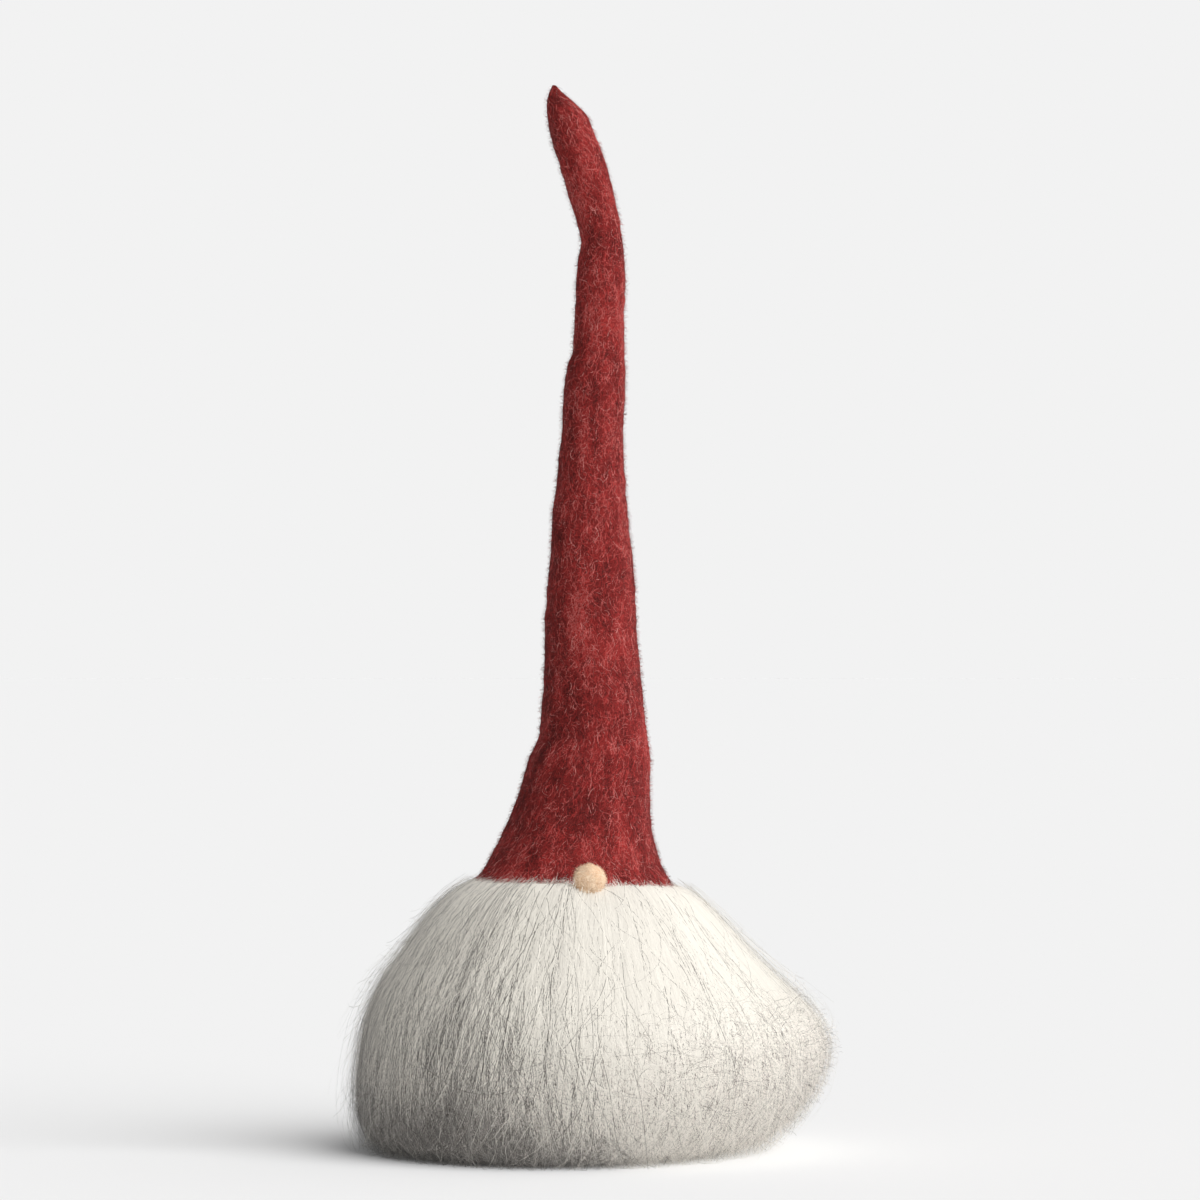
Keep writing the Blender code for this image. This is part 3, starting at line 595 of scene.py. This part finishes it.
rng = np.random.default_rng(12)
count = 3200
turn = rng.uniform(0, 2 * math.pi, count)
tilt = np.arcsin(rng.uniform(-1, 1, count))
t = np.linspace(0, 1, NOSE_FIBRE_STEPS)
heading = rng.uniform(0, 2 * math.pi, (count, 1))
reach = rng.uniform(0.15, 0.55, (count, 1)) * t
lift = rng.uniform(0.0, 1.1, (count, 1)) * t**1.5 + 0.03
wide = np.maximum(np.cos(tilt)[:, None], 0.25)
turns = turn[:, None] + reach * np.cos(heading) / wide
paths = nose_point(turns, tilt[:, None] + reach * np.sin(heading), lift)
widths = rng.uniform(*FINE_WIDTHS, count)
tone = rng.normal(0.65, 0.26, count)
fuzz = fibre_mesh("nose_fuzz", paths, outward(turn, NOSE_FIBRE_STEPS), 0.4, widths, tone, rng, nose_fibre)
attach(fuzz, "figure")

# %% Red fibres that reach over the nose's rim
RIM_FIBRES = 420
around_nose = rng.uniform(0.1, math.pi - 0.1, RIM_FIBRES)
ring = rng.uniform(0.85, 1.35, RIM_FIBRES)
height = NOSE_CENTRE[2] + ring * NOSE_RADII[2] * np.sin(around_nose)
radius = hat_radius(height)
side = NOSE_CENTRE[0] - HAT_ROWS[0][1] + ring * NOSE_RADII[0] * np.cos(around_nose)
angle = -math.pi / 2 + side / radius
length = rng.uniform(1.2, 4.0, RIM_FIBRES)
paths = fuzz_paths(rng, height, angle, length, rng.uniform(0.8, 3.2, RIM_FIBRES), 1.5)
widths = rng.uniform(*FINE_WIDTHS, RIM_FIBRES)
tone = rng.normal(0.55, 0.25, RIM_FIBRES)
rim = fibre_mesh("nose_rim_fibres", paths, outward(angle, FUZZ_STEPS), 0.3, widths, tone, rng, red_fibre)
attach(rim, "figure")

# %% [markdown]
# ## The shape of the fleece
# The real body is a bag of wadding that nobody sees: long locks hang over it from under the brim to the
# table. The locks' outer face is described once, by the angle round the figurine and the way down a lock,
# and the underwool and every fibre are placed on it. It reaches further at the right, where the wool has
# been pushed out into a soft corner.

# %% The fleece's outline
# Radius and height from under the brim, over the crown and down to the table, for the left and the right
# side.
LEFT_ROWS = (
    (26, 98.6), (34, 101.8), (41.5, 103.0), (52.5, 97.4), (62.5, 87.6), (71.5, 74.2), (78.5, 63), (83, 51),
    (85.4, 38), (86.6, 25), (86.2, 14), (82.5, 5.5), (74, 1.3), (60, 1.0),
)
RIGHT_ROWS = (
    (21, 97.6), (26, 100.4), (32.5, 100.3), (39.5, 95.2), (49, 86), (60, 73.6), (71.5, 62.2), (82, 52.5),
    (86.6, 43), (85.6, 34), (81.5, 24.5), (73.5, 14), (63.5, 6), (50, 1.2),
)
DEPTH_SHARE = 0.96  # front and back reach, beside the sides'
LINE_STEPS = 400


def even_line(rows):
    """An outline as LINE_STEPS points spread evenly over its rows, so that the two sides can be mixed."""
    fine = np.linspace(0, len(rows) - 1, LINE_STEPS)
    columns = np.array(rows, float).T
    line = np.stack([np.interp(fine, np.arange(len(rows)), column) for column in columns], 1)
    return softened(line, np.hanning(2 * (LINE_STEPS // len(rows)) + 1))


left_line, right_line = even_line(LEFT_ROWS), even_line(RIGHT_ROWS)
mean_line = (left_line + right_line) / 2
down_line = np.concatenate([[0], np.cumsum(np.linalg.norm(np.diff(mean_line, axis=0), axis=1))])
LOCK_LENGTH = down_line[-1]
print("a lock is", round(LOCK_LENGTH), "mm long from the brim to the table")


def at_side(angle, down, column):
    """The outline's radius (column 0) or height (column 1) at an angle and a way down."""
    to_right = (1 + np.cos(angle)) / 2
    left = np.interp(down, down_line, left_line[:, column])
    right = np.interp(down, down_line, right_line[:, column])
    return left + (right - left) * to_right


def slope_at(angle, down, reach):
    """How the outline's radius and height change from a reach above a place to a reach below it."""
    return [at_side(angle, down + reach, column) - at_side(angle, down - reach, column) for column in (0, 1)]


def fleece_point(angle, down, lift=0.0):
    """A point on the fleece's outer face, moved out by a lift."""
    down = np.clip(down, 0, LOCK_LENGTH)
    radius = at_side(angle, down, 0)
    height = at_side(angle, down, 1)
    slope_r, slope_z = slope_at(angle, down, 1.0)
    length = np.hypot(slope_r, slope_z) + 1e-6
    height = height + (brim_lift(angle) + 0.6) * np.exp(-down / 22.0)
    lift = lift + tuft(angle, down)
    radius = radius - slope_z / length * lift
    height = height + slope_r / length * lift
    deep = 1 - (1 - DEPTH_SHARE) * np.sin(angle) ** 2
    return round_place(angle, radius * deep, np.maximum(height, 0.25))


def fleece_out(angle, down):
    """The direction straight out of the fleece."""
    slope_r, slope_z = slope_at(angle, down, 2.0)
    return round_place(angle, -slope_z, slope_r)


def tuft(angle, down):
    """The fleece's slow unevenness in millimetres: broad swells, parting locks, a dent under the nose."""
    round_it = round_place(angle, 70, down * 0.6)
    swell = 1.5 * noise(round_it, 30.0, 2.2)
    locks = 0.7 * noise(round_it, (9.0, 9.0, 60.0), 6.1)
    dent = np.exp((np.sin(-angle) - 1) / 0.016)
    dent = dent * smooth_step(down, 1.0, 8.0) * smooth_step(-down, -32.0, -18.0)
    return (swell + locks) * smooth_step(down, 12.0, 60.0) - 2.6 * dent


# %% [markdown]
# ## Where the wool is pale and where it is dark
# A raw fleece runs from silver grey to cream, with a darker, crimped tip. Here the left is silver grey in
# soft vertical bands, and the middle and the upper right are nearly white. The hem is dark where the tips
# curl under, partly from darker wool and partly from painted shade on the left, away from the light, and the
# lower left is darker in the same two ways. The pale fibres at the left are painted paler, a painted fill
# light where the room's light is dark. Most fibres are pale, and the share of dark ones changes from place
# to place.

# %% Tone of the fleece


def fleece_zones(angle, down):
    """How far a place belongs to the left, to the lower part, to the hem and to a grey band: 0 to 1 each."""
    angle, down = np.broadcast_arrays(angle, down)
    side = np.cos(angle)
    height = at_side(angle, down, 1)
    round_it = round_place(angle, 80, down * 0.25)
    left = smooth_step(-side + 0.15 * noise(round_it, 14.0), -0.15, 0.5)
    low = smooth_step(-height, -62, -12)
    hem_top = 17.0 + 9.0 * noise(round_it, 13.0, 8.8) + 15.0 * smooth_step(-side, 0.0, 0.6)
    hem = smooth_step(hem_top - height, 0, 12) * smooth_step(-side, -0.4, 0.2)
    band = smooth_step(noise(round_it, (8.0, 8.0, 50.0), 4.4), -0.3, 0.5) * left
    return left, low, hem, band


def fleece_tone_and_shade(angle, down):
    """The tone of the pale fibres, which are most of the wool, with painted fill and shade on the left."""
    left, low, hem, band = fleece_zones(angle, down)
    # Painted light: +left is a painted fill; -low*left and -hem are partly darker wool and partly painted
    # shade.
    return 0.89 + 0.12 * left - 0.12 * low * left - 0.01 * low - 0.8 * hem - 0.08 * band


def dark_share(angle, down):
    """The share of dark fibres among the pale ones, raised low on the left and at the hem."""
    left, low, hem, band = fleece_zones(angle, down)
    # Dark fibres low on the left and at the hem stand partly for darker wool and partly for painted shade.
    share = 0.01 + 0.03 * left + 0.10 * band + 0.06 * low + 0.36 * low * left + 0.35 * hem
    return share * smooth_step(down, 0.0, 45.0)


# %% [markdown]
# ## The underwool
# Between the long locks a real fleece is filled with short, dense wool, so light never gets through to the
# bag. An opaque, grooved surface just under the locks does that work, and spares a hundred thousand hidden
# fibres. It has two parts, the wool above and the hem.

# %% Underwool
UNDER_DEPTH = 3.2
UNDER_COLUMNS = 420
UNDER_ROWS = 238
HEM_ROW = 168  # the row, of UNDER_ROWS, where the hem part begins
under_wool, tree, shader = new_material("dense_underwool", roughness=0.9, sheen=0.05)
place = add_node(tree, "UVMap", uv_map=BAKE_MAP).outputs["UV"]
# Each part's map is about 500 mm round, and 105 mm high, or 44 mm at the hem. So the streaks are 1 mm wide
# and 12 mm or 5 mm long, coarser than real wool.
streaks = stretched_noise(tree, place, (500.0, 9.0, 1.0), Detail=3.0)
finish_surface(tree, shader, varied_tone(tree, streaks, -0.16, 0.1), WOOL_STOPS)
around = np.linspace(0, 2 * math.pi, UNDER_COLUMNS, endpoint=False)[None, :]
down = np.linspace(0, LOCK_LENGTH, UNDER_ROWS)[:, None]
angle, down = np.broadcast_arrays(around, down)
round_it = round_place(angle, 80, down)
groove = 0.3 * noise(round_it, (2.2, 2.2, 26.0)) + 0.2 * noise(round_it, (1.1, 1.1, 9.0), 3.0)
under_face = fleece_point(angle, down, groove - UNDER_DEPTH)
# The underwool takes the fleece's tone, with its painted fill and painted shade on the left.
under_tone = fleece_tone_and_shade(angle, down) - 0.4 * dark_share(angle, down)
UNDER_PARTS = (
    ("fleece_underwool", slice(0, HEM_ROW + 1)),
    ("fleece_hem_underwool", slice(HEM_ROW, UNDER_ROWS)),
)
for name, rows in UNDER_PARTS:
    underwool = sheet_mesh(name, under_face[rows], under_wool)
    set_tone(underwool, under_tone[rows])
    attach(underwool, "figure")
    # Scattered light passes the thin wool above, but not the dense hem, which darkens the table next to it.
    underwool.visible_diffuse = name == "fleece_hem_underwool"
    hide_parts("fleece_skirt")

# %% [markdown]
# ## Long locks
# Each fibre starts under the brim, or further down among the others, and falls along the fleece. Neighbours
# share a slow wave and draw together towards their tips, as hair does in locks. The last of its length
# drifts on its own.

# %% How a fibre lies on the fleece


def lie(rng, angle, down, length, steps, lift, wave, crimp, heading=0.0, turn=0.0, phase=None):
    """Paths of fibres from a place on the fleece, and the direction out of the fleece along them.

    Wave and crimp are (size, length) of a swing in millimetres, and lift is the height over the fleece's
    face at root and tip. Heading is the slope away from straight down, and turn is its gain by the tip.
    """
    count = len(angle)
    t = np.linspace(0, 1, steps)[None, :]
    run = length[:, None] * t
    phase = rng.uniform(0, 2 * math.pi, count) if phase is None else phase
    own = rng.uniform(0, 2 * math.pi, (2, count, 1))
    slope = np.reshape(heading, (-1, 1)) + np.reshape(turn, (-1, 1)) * t**1.5
    step = length[:, None] / (steps - 1)
    swing = wave[0] * np.sin(2 * math.pi * run / wave[1] + phase[:, None])
    swing = swing * smooth_step(run, 0, wave[1] / 2)
    curl_size = crimp[0] * rng.uniform(0.4, 1.5, (count, 1)) * (0.3 + 0.7 * t)
    curl_turn = 2 * math.pi * run / (crimp[1] * rng.uniform(0.7, 1.4, (count, 1)))
    sway = np.cumsum(np.sin(slope), 1) * step + swing + curl_size * np.sin(curl_turn + own[0])
    fall = down[:, None] + np.cumsum(np.cos(slope), 1) * step
    fall = fall + 0.5 * curl_size * np.sin(1.3 * curl_turn + own[1])
    over = lift[0][:, None] + (lift[1] - lift[0])[:, None] * t**1.6
    over = over + 0.6 * curl_size * np.cos(curl_turn + own[0])
    radius = np.maximum(at_side(angle[:, None], fall, 0), 20.0)
    turned = angle[:, None] + sway / radius
    return fleece_point(turned, fall, over), fleece_out(turned, fall)


LOCKS = 420
SECTORS = (("beard_locks", "beard"), ("cape_locks_right", "fleece_cape_right"),
           ("cape_locks_back", "fleece_cape_back"), ("cape_locks_left", "fleece_cape_left"))
SECTOR_STARTS = np.radians([-135.0, -45.0, 33.75, 146.25, 225.0])  # the beard's first edge, then the next
# Name, lift from and to, and the share of fibres that start under the brim.
LAYERS = (("under", -2.6, -1.0, 0.25), ("over", -1.2, 0.4, 0.5))
FIBRES_PER_DEGREE = 62
LOOSE_SHARE = 0.36  # fibres that leave their lock
LOCK_STEPS = 15
# A fibre of this wool is 0.04 mm thick, too fine to show, and is drawn four to six times as wide.
LOCK_FIBRE_WIDTHS = (0.14, 0.26)

rng = np.random.default_rng(21)
lock_angle = np.sort(rng.uniform(0, 2 * math.pi, LOCKS))
lock_phase = rng.uniform(0, 2 * math.pi, LOCKS)
lock_tone = rng.normal(0, 1, LOCKS)
for k, (sector, cad_node) in enumerate(SECTORS):
    for layer, deepest, highest, from_brim in LAYERS:
        count = int(math.degrees(SECTOR_STARTS[k + 1] - SECTOR_STARTS[k]) * FIBRES_PER_DEGREE)
        angle = rng.uniform(SECTOR_STARTS[k], SECTOR_STARTS[k + 1], count)
        lock = np.searchsorted(lock_angle, angle % (2 * math.pi)) % LOCKS
        lower = LOCK_LENGTH * rng.uniform(0, 0.72, count)
        start = np.where(rng.random(count) < from_brim, rng.uniform(0, 14, count), lower)
        length = np.minimum(rng.uniform(50, 160, count), LOCK_LENGTH - start - rng.uniform(0, 24, count))
        length = np.maximum(length, 18)
        depth = rng.uniform(deepest, highest, count)
        loose = (rng.random(count) < LOOSE_SHARE) & (start > 10)
        fly = np.where(loose, np.minimum(rng.exponential(3.2, count), 10.0), 0.0)
        turn = rng.normal(0, 0.14, count) + np.where(loose, rng.normal(0, 0.7, count), 0.0)
        lift = (depth + 0.35 * fly, depth + fly + rng.normal(0, 0.3, count))
        heading = rng.normal(0, 0.11, count)
        phase = lock_phase[lock] + rng.normal(0, 0.6, count)
        paths, out = lie(rng, angle, start, length, LOCK_STEPS, lift, wave=(1.1, 46.0), crimp=(0.35, 10.0),
                         heading=heading, turn=turn, phase=phase)
        along = start[:, None] + length[:, None] * np.linspace(0, 1, LOCK_STEPS)
        left = smooth_step(-np.cos(angle), -0.3, 0.4)
        own = rng.normal(0, 0.04, count) + lock_tone[lock] * (0.02 + 0.055 * left)
        # The locks take the fleece's tone, with its painted fill and painted shade on the left.
        tone = fleece_tone_and_shade(angle[:, None], along) + own[:, None]
        dark = rng.random(count) < dark_share(angle, start + 0.6 * length) * np.where(loose, 1.7, 1.0)
        tone = np.where(dark[:, None], rng.uniform(0.08, 0.58, (count, 1)), tone)
        widths = rng.uniform(*LOCK_FIBRE_WIDTHS, count)
        locks = fibre_mesh(f"{sector}_{layer}", paths, out, 0.12, widths, tone, rng, wool_locks)
        if layer == "over":
            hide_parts(cad_node)
        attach(locks, "figure")

# %% [markdown]
# ## Frizz, hem and guard hairs
# Crimped short wool stands off the lower right side. The hem is a tangle of pale and dark curly tips over a
# dark underside, dark partly from its wool and partly from painted shade, and loose wisps leave the left
# side. Some hundreds of long, dark guard hairs wander over it.

# %% Frizz at the right


def curls(rng, angle, down, steps, rest, rise, lengths, stray, wave, crimp):
    """Short curly fibres with their lift at the root, the mean rise of their tips and how far they stray."""
    count = len(angle)
    lift = (rng.uniform(*rest, count), np.minimum(rng.exponential(rise, count), MOST_LIFT))
    length = rng.uniform(*lengths, count)
    heading = rng.normal(0, stray, count)
    return lie(rng, angle, down, length, steps, lift, wave, crimp, heading, rng.normal(0, 1.3, count))


FRIZZ_STEPS = 17
FRIZZ_WIDTHS = (0.1, 0.17)
MOST_LIFT = 7.5  # where the tips' lift stops
rng = np.random.default_rng(22)
# Name, count, tones, lengths and crimp.
FRIZZ_KINDS = (
    ("cape_frizz_pale", 6100, (0.88, 0.12), (6, 20), (1.2, 6.0)),
    ("cape_frizz_dark", 4200, (0.12, 0.16), (7, 22), (1.7, 8.0)),
)
for name, count, tones, lengths, crimp in FRIZZ_KINDS:
    angle = rng.normal(-0.30, 0.62, count)
    down = LOCK_LENGTH * (0.42 + 0.5 * rng.beta(2.4, 1.6, count))
    paths, out = curls(rng, angle, down, FRIZZ_STEPS, (-0.4, 0.9), 2.3, lengths, 1.3, (1.2, 14.0), crimp)
    width = rng.uniform(*FRIZZ_WIDTHS, count)
    frizz = fibre_mesh(name, paths, out, 0.2, width, rng.normal(*tones, count), rng, wool_frizz)
    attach(frizz, "figure")

# %% Curly hem
HEM_STEPS = 14
rng = np.random.default_rng(23)
for name, count, tones in (("hem_curls_front", 3800, (0.82, 0.12)), ("hem_curls_back", 3000, (0.7, 0.14))):
    middle = -math.pi / 2 if name.endswith("front") else math.pi / 2
    angle = middle + rng.uniform(-math.pi / 2, math.pi / 2, count)
    down = LOCK_LENGTH * rng.uniform(0.6, 0.94, count)
    paths, out = curls(rng, angle, down, HEM_STEPS, (-0.3, 1.0), 2.2, (8, 26), 0.9, (1.2, 16.0), (0.9, 6.5))
    # More hem curls are dark at the left: partly dark tips, partly painted shade where the hem turns under,
    # away from the light.
    _, _, dark_and_shaded_hem, _ = fleece_zones(angle, down + 12.0)
    tone = rng.normal(*tones, count) - np.where(rng.random(count) < 0.2 + 0.65 * dark_and_shaded_hem, 0.74, 0.0)
    hem = fibre_mesh(name, paths, out, 0.2, rng.uniform(*FRIZZ_WIDTHS, count), tone, rng, wool_frizz)
    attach(hem, "figure")

# %% Wisps at the left
rng = np.random.default_rng(26)
count = 1300
angle = rng.normal(math.pi, 0.55, count)
down = LOCK_LENGTH * rng.uniform(0.1, 0.86, count)
length = rng.uniform(16, 50, count)
lift = (rng.uniform(0.0, 1.5, count), np.minimum(rng.exponential(4.0, count), 0.26 * length))
heading = rng.normal(0, 0.3, count)
turn = rng.normal(0, 0.6, count)
paths, out = lie(rng, angle, down, length, 16, lift, (1.5, 30.0), (0.7, 11.0), heading, turn)
dark = rng.random(count) < 0.45
tone = np.where(dark, rng.uniform(0.1, 0.5, count), rng.uniform(0.7, 1.0, count))
widths = rng.uniform(*FRIZZ_WIDTHS, count)
side_wisps = fibre_mesh("side_wisps", paths, out, 0.2, widths, tone, rng, wool_locks, taper=0.5)
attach(side_wisps, "figure")

# %% Guard hairs
rng = np.random.default_rng(24)
count = 330
angle = rng.uniform(0, 2 * math.pi, count)
down = rng.uniform(3, 90, count)
length = np.minimum(rng.uniform(30, 130, count), LOCK_LENGTH - down - 10)
lift = (rng.uniform(0.4, 1.0, count), rng.uniform(0.5, 3.0, count))
heading = rng.normal(0.0, 0.38, count)
paths, out = lie(rng, angle, down, length, 40, lift, (3.0, 60.0), (1.5, 20.0), heading)
widths = rng.uniform(*FRIZZ_WIDTHS, count)
tone = rng.uniform(0.0, 0.3, count)
guard = fibre_mesh("guard_hairs", paths, out, 0.15, widths, tone, rng, wool_locks, taper=0.6)
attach(guard, "figure")

# %% [markdown]
# ## Where the wool meets the hat
# The felt's edge sinks into the locks, and short pale fibres cling to it. They hide the line where two
# pieces meet.

# %% Wisps on the brim
rng = np.random.default_rng(25)
count = 1500
angle = rng.uniform(0, 2 * math.pi, count)
height = BRIM_HEIGHT + rng.exponential(0.6, count) - 0.6
length = rng.uniform(1.5, 5.5, count)
paths = fuzz_paths(rng, height, angle, length, rng.uniform(0.2, 1.6, count), 1.5)
# The wisps are darker towards the left: partly greyer wool, partly painted shade on the side away from the
# light.
tone = 0.9 - 0.15 * smooth_step(-np.cos(angle), 0.0, 1.0) + rng.normal(0, 0.1, count)
widths = rng.uniform(0.06, 0.1, count)
wisps = fibre_mesh("brim_wisps", paths, outward(angle, FUZZ_STEPS), 0.2, widths, tone, rng, wool_locks)
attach(wisps, "figure")

# %% [markdown]
# ## What is inside
# Nobody sees the inside of a finished figurine, but its maker does: a plywood foot with a steel weight, a
# dowel, a calico bag of wadding tied at the neck, tapes that carry the locks, and a soft wire in the hat.
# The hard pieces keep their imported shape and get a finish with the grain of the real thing. The stuffed
# ones are made anew, as lumpy tubes, because stuffing never has a turned surface.

# %% Finishes of the inside pieces


def grained(name, roughness, colours, sizes, relief, metallic=0.0, sheen=0.0):
    """A material whose grain is a noise stretched to sizes in millimetres, with its relief in millimetres."""
    made, tree, shader = new_material(name, roughness, metallic=metallic, sheen=sheen)
    place = add_node(tree, "TexCoord").outputs["Object"]
    grain = stretched_noise(tree, place, [1 / (MM * size) for size in sizes], Detail=4.0)
    finish_surface(tree, shader, grain.outputs["Fac"], colours, relief)
    return made


# Pressed wool felt, cut from sheet: mottled in three greys, and quite dull.
grey_felt = grained("pressed_grey_felt", 0.95, ((0.3, "#3b3937"), (0.5, "#54514e"), (0.7, "#6c6864")),
                    (0.5, 0.5, 0.5), 0.15, sheen=0.2)
# Birch plywood, sawn and sanded: its plies are 1.4 mm thick and show as bands round the edge.
plywood = grained("sanded_birch_plywood", 0.55, ((0.35, "#b08550"), (0.5, "#cba36c"), (0.7, "#dfc091")),
                  (14.0, 5.0, 1.4), 0.03)
# Steel screw, zinc plated: pale yellow-grey and softly bright.
zinc = grained("zinc_plated_steel", 0.35, ((0.4, "#b7b19a"), (0.6, "#cdc8b4")), (0.8, 0.8, 0.8), 0.01,
               metallic=1.0)
# Mild steel disc, turned: fine tool marks round it, drawn 0.3 mm apart.
steel = grained("turned_mild_steel", 0.4, ((0.4, "#7f8185"), (0.6, "#9b9da1")), (6.0, 6.0, 0.3), 0.01,
                metallic=1.0)
# Beech dowel, planed: short flecks along the grain.
beech = grained("planed_beech", 0.5, ((0.35, "#a57a50"), (0.5, "#c0946a"), (0.7, "#d4ab82")),
                (0.9, 0.9, 9.0), 0.04)
# Cotton tape and thread, woven and twisted: ribs 0.5 mm apart.
cotton = grained("woven_cotton_tape", 0.9, ((0.35, "#cfc9ba"), (0.5, "#dfdacd"), (0.7, "#ece8de")),
                 (0.5, 0.5, 0.5), 0.1, sheen=0.1)
# Iron wire, annealed: soft, dark and dull from the furnace.
wire = grained("annealed_iron_wire", 0.5, ((0.35, "#343436"), (0.5, "#47474a"), (0.7, "#5a5a5d")),
               (0.8, 0.8, 3.0), 0.02, metallic=1.0)
# Carded polyester wadding: an airy white mass with the swirl of the carding machine.
wadding = grained("carded_wadding", 0.95, ((0.3, "#d3cdc1"), (0.5, "#e5e0d6"), (0.7, "#f2eee6")),
                  (1.2, 1.2, 3.0), 0.4, sheen=0.2)
INSIDE_FINISHES = {
    grey_felt: ("base_pad",),
    plywood: ("base_disc",),
    zinc: ("base_screw",),
    steel: ("weight_disc",),
    beech: ("dowel",),
    cotton: ("neck_tie", "skirt_tape", "cape_tape", "nose_thread"),
    wire: ("cone_wire", "shaft_wire", "top_wire", "tip_wire", "wire_binding_lower", "wire_binding_upper"),
}
for finish, names in INSIDE_FINISHES.items():
    for name in names:
        nodes[name].data.materials.clear()
        nodes[name].data.materials.append(finish)
print("finished", sum(len(names) for names in INSIDE_FINISHES.values()), "hard pieces")

# %% Calico's weave
# Unbleached calico, a plain weave. Its threads are 0.4 mm apart, too fine to show, and are drawn 1 mm apart.
BAG_THREADS = (360, 150)  # threads round the bag and up it
calico, tree, shader = new_material("unbleached_calico", roughness=0.9, sheen=0.1)
place = add_node(tree, "UVMap", uv_map=BAKE_MAP)
split = add_node(tree, "SeparateXYZ", [(place.outputs["UV"], "Vector")])
waves = []
for axis, threads in zip(("X", "Y"), BAG_THREADS):
    turns = add_node(tree, "Math", [(split.outputs[axis], 0)], operation="MULTIPLY")
    turns.inputs[1].default_value = 2 * math.pi * threads
    waves.append(add_node(tree, "Math", [(turns.outputs["Value"], 0)], operation="SINE").outputs["Value"])
weave = add_node(tree, "Math", [(waves[0], 0), (waves[1], 1)], operation="MULTIPLY")
level = add_node(tree, "MapRange", [(weave.outputs["Value"], "Value")], **{"From Min": -1.0})
thread_colours = ((0.2, "#c3b795"), (0.8, "#ddd3b8"))
finish_surface(tree, shader, level.outputs["Result"], thread_colours, relief=0.15, strength=0.4)

# %% Stuffed pieces
STUFFED_COLUMNS = 120
STUFFED_SPACING = 1.0
END_RINGS = 7
DOME = 5.0  # depth of a rounded end
BEND_ROOM = 1.5  # between a bend's middle and the stuffing on either side
HAT_ROOM = 1.2  # between the felt's inside and the stuffing
GATHERS = 30
GATHER_DEPTHS = (32, 6)  # how far below the upper end the gathers begin, and where they are at their deepest


def outline_of(node, spacing=4.0):
    """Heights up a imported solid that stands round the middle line, and its largest radius near each."""
    points = np.array([vertex.co for vertex in nodes[node].data.vertices]) / MM
    row_count = int(np.ptp(points[:, 2]) / STUFFED_SPACING) + 2
    heights = np.linspace(points[:, 2].min(), points[:, 2].max(), row_count)
    reach = np.linalg.norm(points[:, :2], axis=1)
    near = np.abs(points[:, 2] - heights[:, None]) < spacing
    return heights, np.where(near, reach, 0).max(1)


def inside_hat(node):
    """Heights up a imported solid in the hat, short of the bends, and the radius that the felt leaves there."""
    low, high = (corner.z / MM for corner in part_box(node))
    below = [bend + BEND_ROOM for _, _, bend in bends if bend < (low + high) / 2]
    above = [bend - BEND_ROOM for _, _, bend in bends if bend > (low + high) / 2]
    low = max([low, *below]) + DOME
    high = min([high, *above]) - DOME
    heights = np.linspace(low, high, int((high - low) / STUFFED_SPACING) + 2)
    return heights, hat_radius(heights) - FELT_THICKNESS - HAT_ROOM


def stuffed(node, name, outline, material, lump, folds=0.0, dome=0.0):
    """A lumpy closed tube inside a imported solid's outline, with flat ends, or with domes of that depth.

    Lump is how far it sinks in and how large the lumps are. Folds is how deep the upper end's gathers are.
    """
    heights, radius = outline
    low, high = heights[0], heights[-1]
    across = np.interp(heights, hat_line[:, 0], hat_line[:, 1]) * (low > BRIM_HEIGHT)
    ends = np.linspace(0.02, math.pi / 2, END_RINGS + 1)[:-1]
    heights = np.concatenate([low - dome * np.cos(ends), heights, high + dome * np.cos(ends)[::-1]])
    across = np.pad(across, END_RINGS, "edge")
    radius = np.concatenate([radius[0] * np.sin(ends), radius, radius[-1] * np.sin(ends)[::-1]])
    turn = np.linspace(0, 2 * math.pi, STUFFED_COLUMNS, endpoint=False)
    grid = np.stack(np.broadcast_arrays(across[:, None] + radius[:, None] * np.cos(turn),
                                        radius[:, None] * np.sin(turn), heights[:, None]), -1)
    sink = lump[0] * (0.5 + 0.5 * noise(grid, lump[1]))
    gather = 0.5 + 0.5 * np.sin(GATHERS * turn + 2 * noise(grid, 12.0))
    begin, deepest = (high - depth for depth in GATHER_DEPTHS)
    sink = sink + folds * gather * smooth_step(heights, begin, deepest)[:, None]
    share = np.clip(1 - sink / np.maximum(radius, 2.0)[:, None], 0.1, 1)
    grid[..., 0] = across[:, None] + (grid[..., 0] - across[:, None]) * share
    grid[..., 1] = grid[..., 1] * share
    made = sheet_mesh(name, grid, material)
    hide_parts(node)
    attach(made, nodes[node]["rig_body"])


stuffed("body_bag", "calico_bag", outline_of("body_bag"), calico, (1.0, 16.0), folds=1.6)
stuffed("body_wadding", "body_stuffing", outline_of("body_wadding"), wadding, (2.0, 9.0))
for part in ("cone", "shaft", "top", "tip"):
    node = f"{part}_wadding"
    stuffed(node, f"{part}_stuffing", inside_hat(node), wadding, (0.8, 5.0), dome=DOME)
